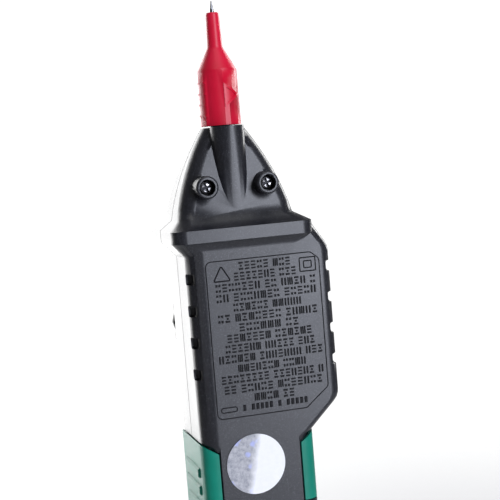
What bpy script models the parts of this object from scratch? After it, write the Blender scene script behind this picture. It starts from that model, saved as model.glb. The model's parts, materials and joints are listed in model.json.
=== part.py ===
"""Pen-type voltage tester and meter, standing on its flat end with the needle up.

Metres, +Z up.  The flat back faces +Y, the dial and the display face -Y, and the side
bulge that carries the dial points to -X.  The origin is the centre of the footprint.
Pieces are modelled round the needle's axis (x = 0) and the parting plane of the two
shells (y = 0), and an empty carries them all to that origin.
"""
import math

import bmesh
import bpy
from mathutils import Matrix, Vector

MM = 0.001

# ---- Driving sizes ---------------------------------------------------------------------
GAP = 0.3 * MM                  # clearance between pieces that touch or fit together
SINK = 0.1 * MM                 # how far a cut runs into a step, so that no faces coincide
HAIR = 0.02 * MM                # a step too small to see, which keeps two faces apart

# Lengths along the tool, from the flat end up to the needle's point.
HANDLE_LENGTH = 105.3 * MM
BULGE_LENGTH = 43.3 * MM
BELT_FLAT = 2.9 * MM
BELT_UPPER_CHAMFER = 2.1 * MM
NOSE_LENGTH = 21.2 * MM
GUARD_LENGTH = 26.9 * MM
NEEDLE_BARE = 2.9 * MM

# Widths and depths.
BELT_HALF_WIDTH = 16.9 * MM
BELT_BACK = 14.0 * MM           # parting plane to the belt's back, and to its front
BELT_RADIUS = 3.2 * MM          # long corners of the belt
BULGE_REACH = 21.1 * MM         # from the needle's axis to the side of the bulge
HEAD_HALF_WIDTH = 13.5 * MM     # plain side of the head
HALF_DEPTH = 11.7 * MM          # parting plane to the flat back, and to the front
EDGE_RADIUS = 2.7 * MM          # long edges of the shells
PLAIN_RADIUS = 3.8 * MM         # rounder edges of the head on its plain side
WALL = 1.8 * MM
SIDE_WALL = 1.4 * MM            # handle wall under the grips
RECESS_WALL = 0.3 * MM          # front wall under the wrap of a grip
CAVITY_RADIUS = 1.0 * MM        # inner corners of the shells

# Nose.
NOSE_TOP_HALF_WIDTH = 4.9 * MM
NOSE_BASE_HALF_WIDTH = 14.0 * MM
NOSE_TOP_BACK = 4.0 * MM
NOSE_BASE_BACK = 9.2 * MM
NOSE_TOP_FRONT = 5.0 * MM
NOSE_BASE_FRONT = 10.5 * MM
NOSE_SWELL = 5.1 * MM           # outward curve of the nose's sides
NOSE_FRONT_SWELL = 1.3 * MM     # outward curve of its front
NOSE_EDGE_RADIUS = 3.4 * MM
NOSE_WALL = 2.2 * MM
RIDGE_RADIUS = 4.0 * MM
RIDGE_DEPTH = 4.8 * MM          # centre of the ridge behind the parting plane

# Screws.
NOSE_SCREW_X = 7.3 * MM
NOSE_SCREW_DROP = 13.9 * MM     # below the top of the nose
BOSS_RADIUS = 2.7 * MM
BOSS_BACK = 10.9 * MM
BOSS_LIP = 0.55 * MM             # rounding of a boss's rim
PILLAR_FRONT = 7.5 * MM         # reach of the front shell's screw pillars
HEAD_RECESS = 1.3 * MM          # screw head below the mouth of its hole
SCREW_HEAD_RADIUS = 1.6 * MM
SCREW_HEAD_THICK = 1.3 * MM
SCREW_SHAFT_RADIUS = 0.75 * MM
SCREW_LENGTH = 14.6 * MM
CROSS_WIDTH = 0.6 * MM
CROSS_DEPTH = 0.7 * MM
CASE_SCREW_X = 8.3 * MM
CASE_SCREW_Z = 12.0 * MM
COVER_SCREW_LENGTH = 6.0 * MM
COVER_HEAD_THICK = 1.0 * MM

# Probe and its guard.
NEEDLE_RADIUS = 0.72 * MM
NEEDLE_POINT = 3.6 * MM
NEEDLE_TAIL = 26.0 * MM         # needle below the top of the nose
HOLDER_RADIUS = 2.5 * MM
HOLDER_ABOVE = 5.0 * MM
HOLDER_FLANGE_RADIUS = 3.4 * MM
HOLDER_FLANGE_THICK = 2.0 * MM
HOLDER_FLANGE_DROP = 8.0 * MM
GUARD_BASE_RADIUS = 4.82 * MM
GUARD_BODY_RADIUS = 4.7 * MM
GUARD_SLIM_RADIUS = 1.85 * MM
GUARD_TOP_RADIUS = 1.6 * MM
GUARD_BODY_LENGTH = 13.0 * MM
GUARD_CONE_LENGTH = 5.3 * MM
LEDGE_COUNT = 4
RELIEF_PROUD = 0.2 * MM         # how far ledges and sign stand off the guard
LEDGE_HEIGHT = 0.4 * MM
LEDGE_HALF_SPAN = 2.0 * MM
LEDGE_ROOT = 1.2 * MM            # how deep a ledge is rooted in the guard
LEDGE_FIRST = 2.3 * MM          # lowest ledge above the guard's base
LEDGE_PITCH = 2.55 * MM
LEDGE_TURN = 14                 # degrees from +X round to +Y
SIGN_HEIGHT = 5.6 * MM          # raised plain triangle
SIGN_WIDTH = 4.3 * MM
SIGN_MIDDLE = 7.0 * MM          # above the guard's base
SIGN_LINE = 0.5 * MM           # width of its raised line
SIGN_TURN = 27                  # degrees from +Y round to -X

# Grips.
GRIP_THICK = 1.2 * MM
GRIP_RADIUS = 3.0 * MM
GRIP_INNER_RADIUS = 0.6 * MM
GRIP_LIP = 3.7 * MM             # how far a grip wraps on to the back and front
GRIP_TOP_SLOPE = 0.62
GRIP_DROP = 0.5 * MM            # grips' upper end below the top of the handle
RIB_PITCH = 4.17 * MM
RIB_HEIGHT = 2.4 * MM
RIB_PROUD = 0.5 * MM
RIB_HALF_SPAN = 7.0 * MM
RIB_TOP_DROP = 7.3 * MM         # first rib below the upper end of the grips
FOOT_THICK = 2.7 * MM           # end flange of the shells below the grips
FOOT_SET_BACK = 0.2 * MM        # flange below the level of the flat back and front

# Batteries, fuse and cover.
BATTERY_DIAMETER = 10.5 * MM
BATTERY_LENGTH = 44.0 * MM
BATTERY_CLEARANCE = 0.4 * MM
TRAY_FLOOR = 1.0 * MM
END_BLOCK = 18.0 * MM           # solid end that holds the jack
CONTACT_THICK = 0.5 * MM
CONTACT_HALF_WIDTH = 4.0 * MM
CONTACT_HALF_DEPTH = 3.0 * MM
SPRING_LENGTH = 3.6 * MM
SPRING_RADIUS = 2.6 * MM
SPRING_WIRE = 0.35 * MM
FUSE_RADIUS = 2.6 * MM
FUSE_LENGTH = 20.0 * MM
FUSE_CAP = 5.0 * MM
COVER_THICK = 2.0 * MM
COVER_SCREW_Z = 8.5 * MM

# Jack.
JACK_BORE_RADIUS = 2.05 * MM
JACK_TUBE_WALL = 0.5 * MM
JACK_SLEEVE_RADIUS = 4.6 * MM
JACK_Y = -4.0 * MM
JACK_DEPTH = 15.0 * MM

# Dial, buttons and display.
DIAL_X = -3.7 * MM
DIAL_DROP = 17.3 * MM           # dial's centre below the belt
DIAL_RADIUS = 16.9 * MM
DIAL_THICK = 2.0 * MM
DIAL_SEAT = 0.6 * MM            # depth of the dial's recess in the front
DIAL_SCALLOPS = 24
DIAL_SCALLOP_DEPTH = 0.5 * MM
DIAL_BAR_WIDTH = 6.0 * MM
DIAL_BAR_HEIGHT = 1.6 * MM
HUB_RADIUS = 3.5 * MM
ROTOR_RADIUS = 11.0 * MM
ROTOR_THICK = 1.8 * MM
BUTTON_RADIUS = 2.7 * MM
BUTTON_PITCH = 7.0 * MM
BUTTON_PROUD = 1.0 * MM
BUTTON_TRAVEL = 0.8 * MM
BUTTON_FLANGE = 0.6 * MM
BUTTON_RISE = 2.6 * MM          # button row above the top of the handle
LENS_HALF_WIDTH = 9.2 * MM
LENS_LENGTH = 40.0 * MM
LENS_THICK = 1.1 * MM
LENS_BORDER = 1.6 * MM
LENS_TOP_DROP = 6.5 * MM        # below the top of the handle
GLASS_THICK = 2.4 * MM
BOARD_THICK = 1.6 * MM
BOARD_FRONT = 4.6 * MM          # board's front face ahead of the parting plane
LAMP_RADIUS = 1.8 * MM
LAMP_PROUD = 0.6 * MM

# Sticker and notches on the back.
STICKER_RADIUS = 7.1 * MM
STICKER_THICK = 0.25 * MM
STICKER_X = 1.4 * MM
STICKER_DROP = 6.2 * MM         # centre below the top of the handle
NOTCH_COUNT = 4
NOTCH_PITCH = 7.42 * MM
NOTCH_HEIGHT = 2.6 * MM
NOTCH_DEPTH = 1.5 * MM
NOTCH_SPAN = 4.3 * MM           # from the flat back towards the parting plane
NOTCH_BEVEL = 0.55 * MM
NOTCH_TOP_DROP = 5.1 * MM       # centre of the first notch below the belt

# ---- Sizes that follow from them ------------------------------------------------------
HANDLE_TOP = HANDLE_LENGTH
BELT_BOTTOM = HANDLE_TOP + BULGE_LENGTH
BELT_LOWER_CHAMFER = BELT_HALF_WIDTH - HEAD_HALF_WIDTH
BELT_FLAT_LOW = BELT_BOTTOM + BELT_LOWER_CHAMFER
BELT_FLAT_TOP = BELT_FLAT_LOW + BELT_FLAT
BELT_TOP = BELT_FLAT_TOP + BELT_UPPER_CHAMFER
NOSE_TOP = BELT_TOP + NOSE_LENGTH
GUARD_BOTTOM = NOSE_TOP + GAP
GUARD_TOP = NOSE_TOP + GUARD_LENGTH
TIP = GUARD_TOP + NEEDLE_BARE

BAY_HALF_WIDTH = max(BATTERY_DIAMETER, FUSE_LENGTH / 2 + GAP) + BATTERY_CLEARANCE
GRIP_SEAT = BAY_HALF_WIDTH + SIDE_WALL
HANDLE_HALF_WIDTH = GRIP_SEAT + GAP + GRIP_THICK
FOOT_HALF_WIDTH = HANDLE_HALF_WIDTH - 0.3 * MM
GRIP_EDGE = HANDLE_HALF_WIDTH - GRIP_LIP
GRIP_BOTTOM = FOOT_THICK + GAP
GRIP_TOP = HANDLE_TOP - GRIP_DROP
COVER_INNER = HALF_DEPTH - COVER_THICK
BATTERY_Y = COVER_INNER - GAP - BATTERY_CLEARANCE / 2 - BATTERY_DIAMETER / 2
BATTERY_X = BATTERY_DIAMETER / 2 + BATTERY_CLEARANCE / 4
BAY_FLOOR = BATTERY_Y - BATTERY_DIAMETER / 2 - BATTERY_CLEARANCE / 2
CELL_BOTTOM = END_BLOCK + GAP + CONTACT_THICK + GAP + SPRING_LENGTH + GAP
CELL_TOP = CELL_BOTTOM + BATTERY_LENGTH
FUSE_Z = CELL_TOP + 2 * GAP + CONTACT_THICK + 7.6 * MM
BAY_TOP = FUSE_Z + 4.6 * MM
COVER_TOP = BAY_TOP + 8.0 * MM
DIAL_Z = BELT_BOTTOM - DIAL_DROP
DIAL_FLOOR = -(HALF_DEPTH - DIAL_SEAT)
DIAL_BACK = DIAL_FLOOR - GAP
DIAL_FACE = DIAL_BACK - DIAL_THICK
FRONT_INSIDE = -(HALF_DEPTH - GRIP_THICK - GAP - RECESS_WALL)
BUTTON_Z = HANDLE_TOP + BUTTON_RISE
LENS_TOP = HANDLE_TOP - LENS_TOP_DROP
LENS_BOTTOM = LENS_TOP - LENS_LENGTH
NOSE_SCREW_Z = NOSE_TOP - NOSE_SCREW_DROP
STICKER_Z = HANDLE_TOP - STICKER_DROP
LOW_X = -max(BULGE_REACH, BELT_HALF_WIDTH)
HIGH_X = BELT_HALF_WIDTH
FRONT_REACH = -(DIAL_FACE - DIAL_BAR_HEIGHT)

SCENE = bpy.context.scene
ROUND = 24                      # sides of a small round piece


# ---- Scene, collections and materials ---------------------------------------------------
for old in list(bpy.data.objects):
    bpy.data.objects.remove(old, do_unlink=True)
PARTS = bpy.data.collections.new("pen_voltage_tester")
CUTTERS = bpy.data.collections.new("pen_voltage_tester_cutters")
SCENE.collection.children.link(PARTS)
SCENE.collection.children.link(CUTTERS)
TOOL_AXIS = bpy.data.objects.new("tool_axis", None)
TOOL_AXIS.location = (-(LOW_X + HIGH_X) / 2, (FRONT_REACH - BELT_BACK) / 2, 0)
PARTS.objects.link(TOOL_AXIS)


def make_material(name, colour, roughness, metallic=0.0):
    material = bpy.data.materials.new(name)
    material.use_nodes = True
    shader = material.node_tree.nodes["Principled BSDF"]
    shader.inputs["Base Color"].default_value = (*colour, 1.0)
    shader.inputs["Roughness"].default_value = roughness
    shader.inputs["Metallic"].default_value = metallic
    return material


BLACK = make_material("black_shell", (0.035, 0.037, 0.045), 0.45)
GREEN = make_material("green_grip", (0.0, 0.19, 0.13), 0.5)
RED = make_material("red_guard", (0.62, 0.0, 0.04), 0.35)
STEEL = make_material("bright_steel", (0.62, 0.62, 0.62), 0.25, 1.0)
SCREW_STEEL = make_material("blackened_screw", (0.08, 0.08, 0.09), 0.35, 1.0)
BRASS = make_material("brass", (0.75, 0.55, 0.22), 0.3, 1.0)
BOARD_GREEN = make_material("circuit_board", (0.02, 0.16, 0.06), 0.5)
CLEAR = make_material("clear_window", (0.75, 0.8, 0.8), 0.08)
DISPLAY = make_material("display_glass", (0.42, 0.46, 0.38), 0.2)
RUBBER = make_material("black_rubber", (0.02, 0.02, 0.02), 0.8)
GREY_KEY = make_material("grey_button", (0.35, 0.36, 0.38), 0.5)
FOIL = make_material("silver_label", (0.78, 0.78, 0.82), 0.25, 0.6)
WHITE = make_material("white_ceramic", (0.8, 0.8, 0.78), 0.4)
CELL_SKIN = make_material("battery_skin", (0.12, 0.2, 0.5), 0.4)
LAMP_RED = make_material("red_lamp_lens", (0.7, 0.05, 0.03), 0.15)


# ---- Shape helpers ----------------------------------------------------------------------
def add_piece(name, mesh, material, location=(0, 0, 0), turn=(0, 0, 0)):
    """Put a mesh in the model as one named piece."""
    piece = bpy.data.objects.new(name, mesh)
    mesh.materials.clear()
    mesh.materials.append(material)
    piece.location = location
    piece.rotation_euler = turn
    piece.parent = TOOL_AXIS
    PARTS.objects.link(piece)
    return piece


def add_cutter(name, mesh, location=(0, 0, 0), turn=(0, 0, 0)):
    """Put a mesh among the cutters, which only shape other pieces."""
    cutter = bpy.data.objects.new(name, mesh)
    cutter.location = location
    cutter.rotation_euler = turn
    cutter.parent = TOOL_AXIS
    cutter.hide_render = True
    cutter.display_type = "WIRE"
    CUTTERS.objects.link(cutter)
    return cutter


def mesh_from(name, shape):
    mesh = bpy.data.meshes.new(name)
    bmesh.ops.recalc_face_normals(shape, faces=shape.faces)
    shape.to_mesh(mesh)
    shape.free()
    return mesh


def box_mesh(name, low, high):
    """A box between two corners."""
    low = Vector(low)
    high = Vector(high)
    size = high - low
    place = Matrix.Translation((low + high) / 2) @ Matrix.Diagonal((*size, 1.0))
    shape = bmesh.new()
    bmesh.ops.create_cube(shape, size=1.0, matrix=place)
    return mesh_from(name, shape)


def rod_mesh(name, radius, low, high, sides=ROUND, top_radius=None):
    """A cylinder or cone on Z between two heights."""
    top_radius = radius if top_radius is None else top_radius
    shape = bmesh.new()
    bmesh.ops.create_cone(shape, cap_ends=True, segments=sides, radius1=radius,
                          radius2=top_radius, depth=high - low,
                          matrix=Matrix.Translation((0, 0, (low + high) / 2)))
    return mesh_from(name, shape)


def fillet(corners, steps=5):
    """Points of an outline whose corners are (u, v) or (u, v, radius)."""
    points = []
    count = len(corners)
    for index, corner in enumerate(corners):
        here = Vector(corner[:2])
        radius = corner[2] if len(corner) > 2 else 0.0
        if radius <= 0.0:
            points.append(here)
            continue
        before = (Vector(corners[index - 1][:2]) - here).normalized()
        after = (Vector(corners[(index + 1) % count][:2]) - here).normalized()
        half = before.angle(after) / 2
        centre = here + (before + after).normalized() * radius / math.sin(half)
        start = here + before * radius / math.tan(half) - centre
        turn = start.angle_signed(here + after * radius / math.tan(half) - centre)
        for step in range(steps + 1):
            spin = Matrix.Rotation(-turn * step / steps, 2)
            points.append(centre + spin @ start)
    return points


PLANES = {
    "XZ": Matrix(((1, 0, 0, 0), (0, 0, -1, 0), (0, 1, 0, 0), (0, 0, 0, 1))),
    "XY": Matrix.Identity(4),
    "YZ": Matrix(((0, 0, 1, 0), (1, 0, 0, 0), (0, 1, 0, 0), (0, 0, 0, 1))),
}
NORMAL_SIGN = {"XZ": -1, "XY": 1, "YZ": 1}


def plate_mesh(name, outline, low, high, plane="XZ"):
    """A flat outline in one plane, thickened from low to high along the plane's normal."""
    curve = bpy.data.curves.new(name, "CURVE")
    curve.dimensions = "2D"
    curve.fill_mode = "BOTH"
    curve.extrude = (high - low) / 2
    spline = curve.splines.new("POLY")
    spline.points.add(len(outline) - 1)
    spline.use_cyclic_u = True
    for point, place in zip(spline.points, outline):
        point.co = (place[0], place[1], 0.0, 1.0)
    guide = bpy.data.objects.new(name + "_outline", curve)
    SCENE.collection.objects.link(guide)
    graph = bpy.context.evaluated_depsgraph_get()
    mesh = bpy.data.meshes.new_from_object(guide.evaluated_get(graph))
    bpy.data.objects.remove(guide, do_unlink=True)
    middle = NORMAL_SIGN[plane] * (low + high) / 2
    shape = bmesh.new()
    shape.from_mesh(mesh)
    bmesh.ops.remove_doubles(shape, verts=shape.verts, dist=1e-7)
    bmesh.ops.transform(shape, matrix=PLANES[plane] @ Matrix.Translation((0, 0, middle)),
                        verts=shape.verts)
    bmesh.ops.dissolve_limit(shape, angle_limit=0.001, verts=shape.verts, edges=shape.edges)
    return mesh_from(name, shape)


def loft_mesh(name, sections):
    """A closed skin over rings of points that all have the same count."""
    shape = bmesh.new()
    rings = [[shape.verts.new(point) for point in ring] for ring in sections]
    count = len(rings[0])
    for lower, upper in zip(rings, rings[1:]):
        for index in range(count):
            after = (index + 1) % count
            shape.faces.new((lower[index], lower[after], upper[after], upper[index]))
    shape.faces.new(rings[0])
    shape.faces.new(rings[-1])
    bmesh.ops.triangulate(shape, faces=shape.faces)
    bmesh.ops.dissolve_limit(shape, angle_limit=0.0005, verts=shape.verts, edges=shape.edges)
    return mesh_from(name, shape)


def turned_piece(name, profile, material, location=(0, 0, 0), turn=(0, 0, 0), closed=False):
    """A profile of (radius, height), run from top to bottom, spun about its own Z."""
    mesh = bpy.data.meshes.new(name)
    points = [(radius, 0, height) for radius, height in profile]
    edges = [(index, index + 1) for index in range(len(points) - 1)]
    if closed:
        edges.append((len(points) - 1, 0))
    mesh.from_pydata(points, edges, [])
    piece = add_piece(name, mesh, material, location, turn)
    screw = piece.modifiers.new("spin", "SCREW")
    screw.steps = ROUND
    screw.render_steps = ROUND
    screw.use_merge_vertices = True
    screw.merge_threshold = 0.00001
    screw.use_smooth_shade = True
    return piece


def add_bevel(piece, width, segments=3, angle=40):
    bevel = piece.modifiers.new("rounded_edges", "BEVEL")
    bevel.width = width
    bevel.segments = segments
    bevel.limit_method = "ANGLE"
    bevel.angle_limit = math.radians(angle)
    return bevel


def add_boolean(piece, other, operation):
    boolean = piece.modifiers.new(operation.lower() + "_" + other.name, "BOOLEAN")
    boolean.operation = operation
    boolean.object = other
    boolean.solver = "EXACT"


def cut(piece, *cutters):
    for cutter in cutters:
        add_boolean(piece, cutter, "DIFFERENCE")


def join(piece, *others):
    for other in others:
        add_boolean(piece, other, "UNION")


# ---- The outer form of the two shells ----------------------------------------------------
FACE_FRONT = (math.radians(90), 0, 0)       # turns a piece's own +Z to the front
FACE_BACK = (math.radians(-90), 0, 0)       # turns it to the flat back
FAR = 60 * MM                               # reach of a cutter past the model


def grip_top_at(x):
    """Height of the grips' sloping top edge at a distance from the needle's axis."""
    return GRIP_TOP - (HANDLE_HALF_WIDTH - abs(x)) * GRIP_TOP_SLOPE


def section(z, low_x, high_x, front, back, radius, high_radius=0.0):
    """One level of the form: a rectangle with round corners."""
    radius = min(radius, 0.49 * (high_x - low_x), 0.49 * (back - front))
    high_radius = high_radius or radius
    corners = ((high_x, front, high_radius), (high_x, back, high_radius),
               (low_x, back, radius), (low_x, front, radius))
    return [(point[0], point[1], z) for point in fillet(corners)]


def level(z, half_width, half_depth, radius=EDGE_RADIUS):
    return section(z, -half_width, half_width, -half_depth, half_depth, radius)


def bulge_level(z, reach, high_x=HEAD_HALF_WIDTH):
    return section(z, -reach, high_x, -HALF_DEPTH, HALF_DEPTH, EDGE_RADIUS, PLAIN_RADIUS)


def body_levels():
    """Foot, handle and head, from the flat end up to inside the belt."""
    shoulder = GAP * math.hypot(1, GRIP_TOP_SLOPE)
    seat_z = grip_top_at(GRIP_SEAT) + shoulder
    head_x = max(HEAD_HALF_WIDTH, GRIP_SEAT + 0.1 * MM)
    head_z = grip_top_at(head_x) + shoulder
    bulge_low = HANDLE_TOP + 6.9 * MM
    corner = 1.2 * MM
    foot_depth = HALF_DEPTH - FOOT_SET_BACK
    levels = [level(0, FOOT_HALF_WIDTH - 1.0 * MM, foot_depth - 1.0 * MM),
              level(0.3 * MM, FOOT_HALF_WIDTH - 0.3 * MM, foot_depth - 0.3 * MM),
              level(1.0 * MM, FOOT_HALF_WIDTH, foot_depth),
              level(FOOT_THICK, FOOT_HALF_WIDTH, foot_depth),
              level(FOOT_THICK, GRIP_SEAT, HALF_DEPTH),
              level(seat_z, GRIP_SEAT, HALF_DEPTH)]
    slope = (BULGE_REACH - head_x) / (bulge_low - head_z)
    bulge = [(head_z, head_x), (bulge_low - corner, BULGE_REACH - slope * corner),
             (bulge_low - 0.2 * corner, BULGE_REACH - 0.45 * MM),
             (bulge_low + 0.6 * corner, BULGE_REACH - 0.1 * MM),
             (bulge_low + 1.4 * corner, BULGE_REACH),
             (BELT_BOTTOM - corner, BULGE_REACH),
             (BELT_BOTTOM - 0.2 * corner, BULGE_REACH - 0.15 * MM),
             (BELT_BOTTOM + 0.6 * corner, BULGE_REACH - 0.6 * MM),
             (BELT_TOP - 2.2 * MM, BELT_HALF_WIDTH)]
    levels += [bulge_level(z, reach, head_x) for z, reach in bulge]
    return levels


def nose_share(z):
    """0 at the top of the nose, 1 at its base on the belt."""
    return (NOSE_TOP - z) / NOSE_LENGTH


def nose_half_width(z):
    share = nose_share(z)
    straight = NOSE_TOP_HALF_WIDTH + (NOSE_BASE_HALF_WIDTH - NOSE_TOP_HALF_WIDTH) * share
    return straight + NOSE_SWELL * share * (1 - share)


def nose_back(z):
    return NOSE_TOP_BACK + (NOSE_BASE_BACK - NOSE_TOP_BACK) * nose_share(z)


def nose_front(z):
    share = nose_share(z)
    straight = NOSE_TOP_FRONT + (NOSE_BASE_FRONT - NOSE_TOP_FRONT) * share
    return -straight - NOSE_FRONT_SWELL * share * (1 - share)


def nose_level(z, inset=0.0, radius=NOSE_EDGE_RADIUS):
    wide = nose_half_width(z) - inset
    return section(z, -wide, wide, nose_front(z) + inset, nose_back(z) - inset, radius)


def crown_levels():
    """Belt and nose: an even lower chamfer, the belt's flat, its upper chamfer, the nose."""
    sunk = BELT_LOWER_CHAMFER + 0.25 * MM
    levels = [level(BELT_FLAT_LOW - sunk, BELT_HALF_WIDTH - sunk, BELT_BACK - sunk),
              level(BELT_FLAT_LOW, BELT_HALF_WIDTH, BELT_BACK, BELT_RADIUS),
              level(BELT_FLAT_TOP, BELT_HALF_WIDTH, BELT_BACK, BELT_RADIUS)]
    steps = 8
    top = NOSE_TOP - 0.1 * MM
    for step in range(steps + 1):
        levels.append(nose_level(BELT_TOP + (top - BELT_TOP) * step / steps))
    return levels


def rod_along_y(name, radius, x, z, low, high, sides=ROUND):
    """A cutter rod from one depth to another."""
    mesh = rod_mesh(name, radius, low, high, sides)
    return add_cutter(name, mesh, (x, 0, z), FACE_BACK)


CROWN = add_cutter("crown_form", loft_mesh("crown_form", crown_levels()))
RIDGE = add_cutter("ridge_form", rod_mesh("ridge_form", RIDGE_RADIUS, BELT_TOP - 1 * MM,
                                          NOSE_TOP), (0, RIDGE_DEPTH, 0))
BACK_HALF = add_cutter("back_half", box_mesh("back_half", (-FAR, -GAP, -FAR),
                                             (FAR, FAR, TIP + FAR)))
FRONT_HALF = add_cutter("front_half", box_mesh("front_half", (-FAR, -FAR, -FAR),
                                               (FAR, 0, TIP + FAR)))


def head_cavity_levels():
    """Room inside the head and the upper handle, open across both shells."""
    depth = HALF_DEPTH - WALL
    narrow = BAY_HALF_WIDTH
    inner_high = HEAD_HALF_WIDTH - WALL
    inner_low = BULGE_REACH - 1.1 * WALL
    radius = CAVITY_RADIUS
    rows = ((BAY_TOP + WALL, narrow, narrow), (HANDLE_TOP - 2 * MM, narrow, narrow),
            (HANDLE_TOP + 1 * MM, narrow, inner_high),
            (HANDLE_TOP + 8 * MM, inner_low, inner_high),
            (BELT_BOTTOM - 1 * MM, inner_low, inner_high),
            (BELT_TOP - 4 * MM, BELT_HALF_WIDTH - WALL, inner_high))
    return [section(z, -low, high, -depth, depth, radius) for z, low, high in rows]


def nose_cavity_levels():
    bottom = BELT_TOP - 5 * MM
    top = NOSE_TOP - 6 * MM
    inset = NOSE_WALL
    levels = [section(bottom, -11 * MM, 11 * MM, -8 * MM, 6.7 * MM, CAVITY_RADIUS)]
    for step in range(4):
        z = BELT_TOP + (top - BELT_TOP) * step / 3
        levels.append(nose_level(z, inset, CAVITY_RADIUS))
    return levels


HEAD_CAVITY = add_cutter("head_cavity", loft_mesh("head_cavity", head_cavity_levels()))
NOSE_CAVITY = add_cutter("nose_cavity", loft_mesh("nose_cavity", nose_cavity_levels()))
PROBE_BORE = add_cutter("probe_bore", rod_mesh("probe_bore", HOLDER_RADIUS + GAP,
                                               NOSE_TOP - 9 * MM, NOSE_TOP + 9 * MM))
JACK_BORE = add_cutter("jack_bore", rod_mesh("jack_bore", JACK_SLEEVE_RADIUS + GAP, -FAR,
                                             JACK_DEPTH + GAP), (0, JACK_Y, 0))


def grip_recess(name, side, face):
    """Room for a grip's wrap on one side of the back (face 1) or of the front (face -1)."""
    inner = GRIP_EDGE - GAP
    outer = FAR
    lift = (GAP - HAIR) * math.hypot(1, GRIP_TOP_SLOPE)
    low_z = FOOT_THICK - SINK
    outline = [(side * inner, low_z), (side * outer, low_z),
               (side * outer, grip_top_at(outer) + lift),
               (side * inner, grip_top_at(inner) + lift)]
    depth = HALF_DEPTH - GRIP_THICK - GAP
    low, high = (depth, FAR) if face > 0 else (-FAR, -depth)
    return add_cutter(name, plate_mesh(name, outline, low, high))


SCREW_PLACES = (
    ("nose_screw_left", NOSE_SCREW_X, NOSE_SCREW_Z, BOSS_BACK - HEAD_RECESS),
    ("nose_screw_right", -NOSE_SCREW_X, NOSE_SCREW_Z, BOSS_BACK - HEAD_RECESS),
    ("case_screw_left", CASE_SCREW_X, CASE_SCREW_Z, COVER_INNER - 2 * GAP),
    ("case_screw_right", -CASE_SCREW_X, CASE_SCREW_Z, COVER_INNER - 2 * GAP),
)


def cut_screw_holes(shell, prefix):
    for name, x, z, top in SCREW_PLACES:
        hole = rod_along_y(prefix + name + "_hole", SCREW_SHAFT_RADIUS + GAP, x, z,
                           top - SCREW_LENGTH - GAP, FAR, 20)
        cut(shell, hole)
        if prefix == "back_":
            floor = top - SCREW_HEAD_THICK - GAP
            mouth = rod_along_y(name + "_mouth", SCREW_HEAD_RADIUS + GAP, x, z, floor, FAR, 28)
            cut(shell, mouth)


def notch_cutter(index, side):
    """One grip notch in a long edge of the back."""
    z = BELT_BOTTOM - NOTCH_TOP_DROP - index * NOTCH_PITCH
    edge = HEAD_HALF_WIDTH if side > 0 else BULGE_REACH
    name = ("plain" if side > 0 else "bulge") + "_notch_" + str(index + 1)
    low_x, high_x = sorted((side * (edge - NOTCH_DEPTH), side * (edge + 3 * MM)))
    mesh = box_mesh(name, (low_x, HALF_DEPTH - NOTCH_SPAN, z - NOTCH_HEIGHT / 2),
                    (high_x, HALF_DEPTH + 3 * MM, z + NOTCH_HEIGHT / 2))
    cutter = add_cutter(name, mesh)
    add_bevel(cutter, NOTCH_BEVEL, 2)
    return cutter


# ---- Shells --------------------------------------------------------------------------------
def copy_form(name):
    return add_piece(name, loft_mesh(name, body_levels()), BLACK)


def build_back_shell():
    shell = copy_form("back_shell")
    join(shell, CROWN, RIDGE)
    cut(shell, FRONT_HALF)
    tray = box_mesh("tray_block", (-BAY_HALF_WIDTH + GAP, BAY_FLOOR - TRAY_FLOOR,
                                   END_BLOCK + GAP),
                    (BAY_HALF_WIDTH - GAP, 1 * MM, BAY_TOP + WALL - GAP))
    join(shell, add_cutter("tray_block", tray))
    cut(shell, HEAD_CAVITY, NOSE_CAVITY)
    for side in (1, -1):
        boss = rod_along_y("boss_" + ("left" if side > 0 else "right"), BOSS_RADIUS,
                           side * NOSE_SCREW_X, NOSE_SCREW_Z, GAP, BOSS_BACK)
        add_bevel(boss, BOSS_LIP, 4)
        join(shell, boss)
    upper = box_mesh("bay_upper", (-BAY_HALF_WIDTH, 0.8 * MM, END_BLOCK),
                     (BAY_HALF_WIDTH, FAR, BAY_TOP))
    lower_x = BAY_HALF_WIDTH - GAP - TRAY_FLOOR
    lower = box_mesh("bay_lower", (-lower_x, BAY_FLOOR, END_BLOCK + GAP + TRAY_FLOOR),
                     (lower_x, 1.2 * MM, BAY_TOP - TRAY_FLOOR))
    seat = box_mesh("cover_seat", (-FAR, COVER_INNER - GAP, FOOT_THICK - SINK / 2),
                    (FAR, FAR, COVER_TOP + GAP))
    cut(shell, add_cutter("bay_upper", upper), add_cutter("bay_lower", lower),
        add_cutter("cover_seat", seat), PROBE_BORE, JACK_BORE)
    cut(shell, grip_recess("recess_back_left", 1, 1), grip_recess("recess_back_right", -1, 1))
    cut_screw_holes(shell, "back_")
    cut(shell, rod_along_y("cover_screw_hole", SCREW_SHAFT_RADIUS + GAP, 0, COVER_SCREW_Z,
                         HALF_DEPTH - COVER_SCREW_LENGTH - 2 * GAP, FAR, 20))
    for index in range(NOTCH_COUNT):
        cut(shell, notch_cutter(index, 1), notch_cutter(index, -1))
    return shell


def button_places():
    return [("button_left", BUTTON_PITCH), ("button_middle", 0.0),
            ("button_right", -BUTTON_PITCH)]


def lamp_height():
    return BELT_TOP + 6.5 * MM


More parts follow.
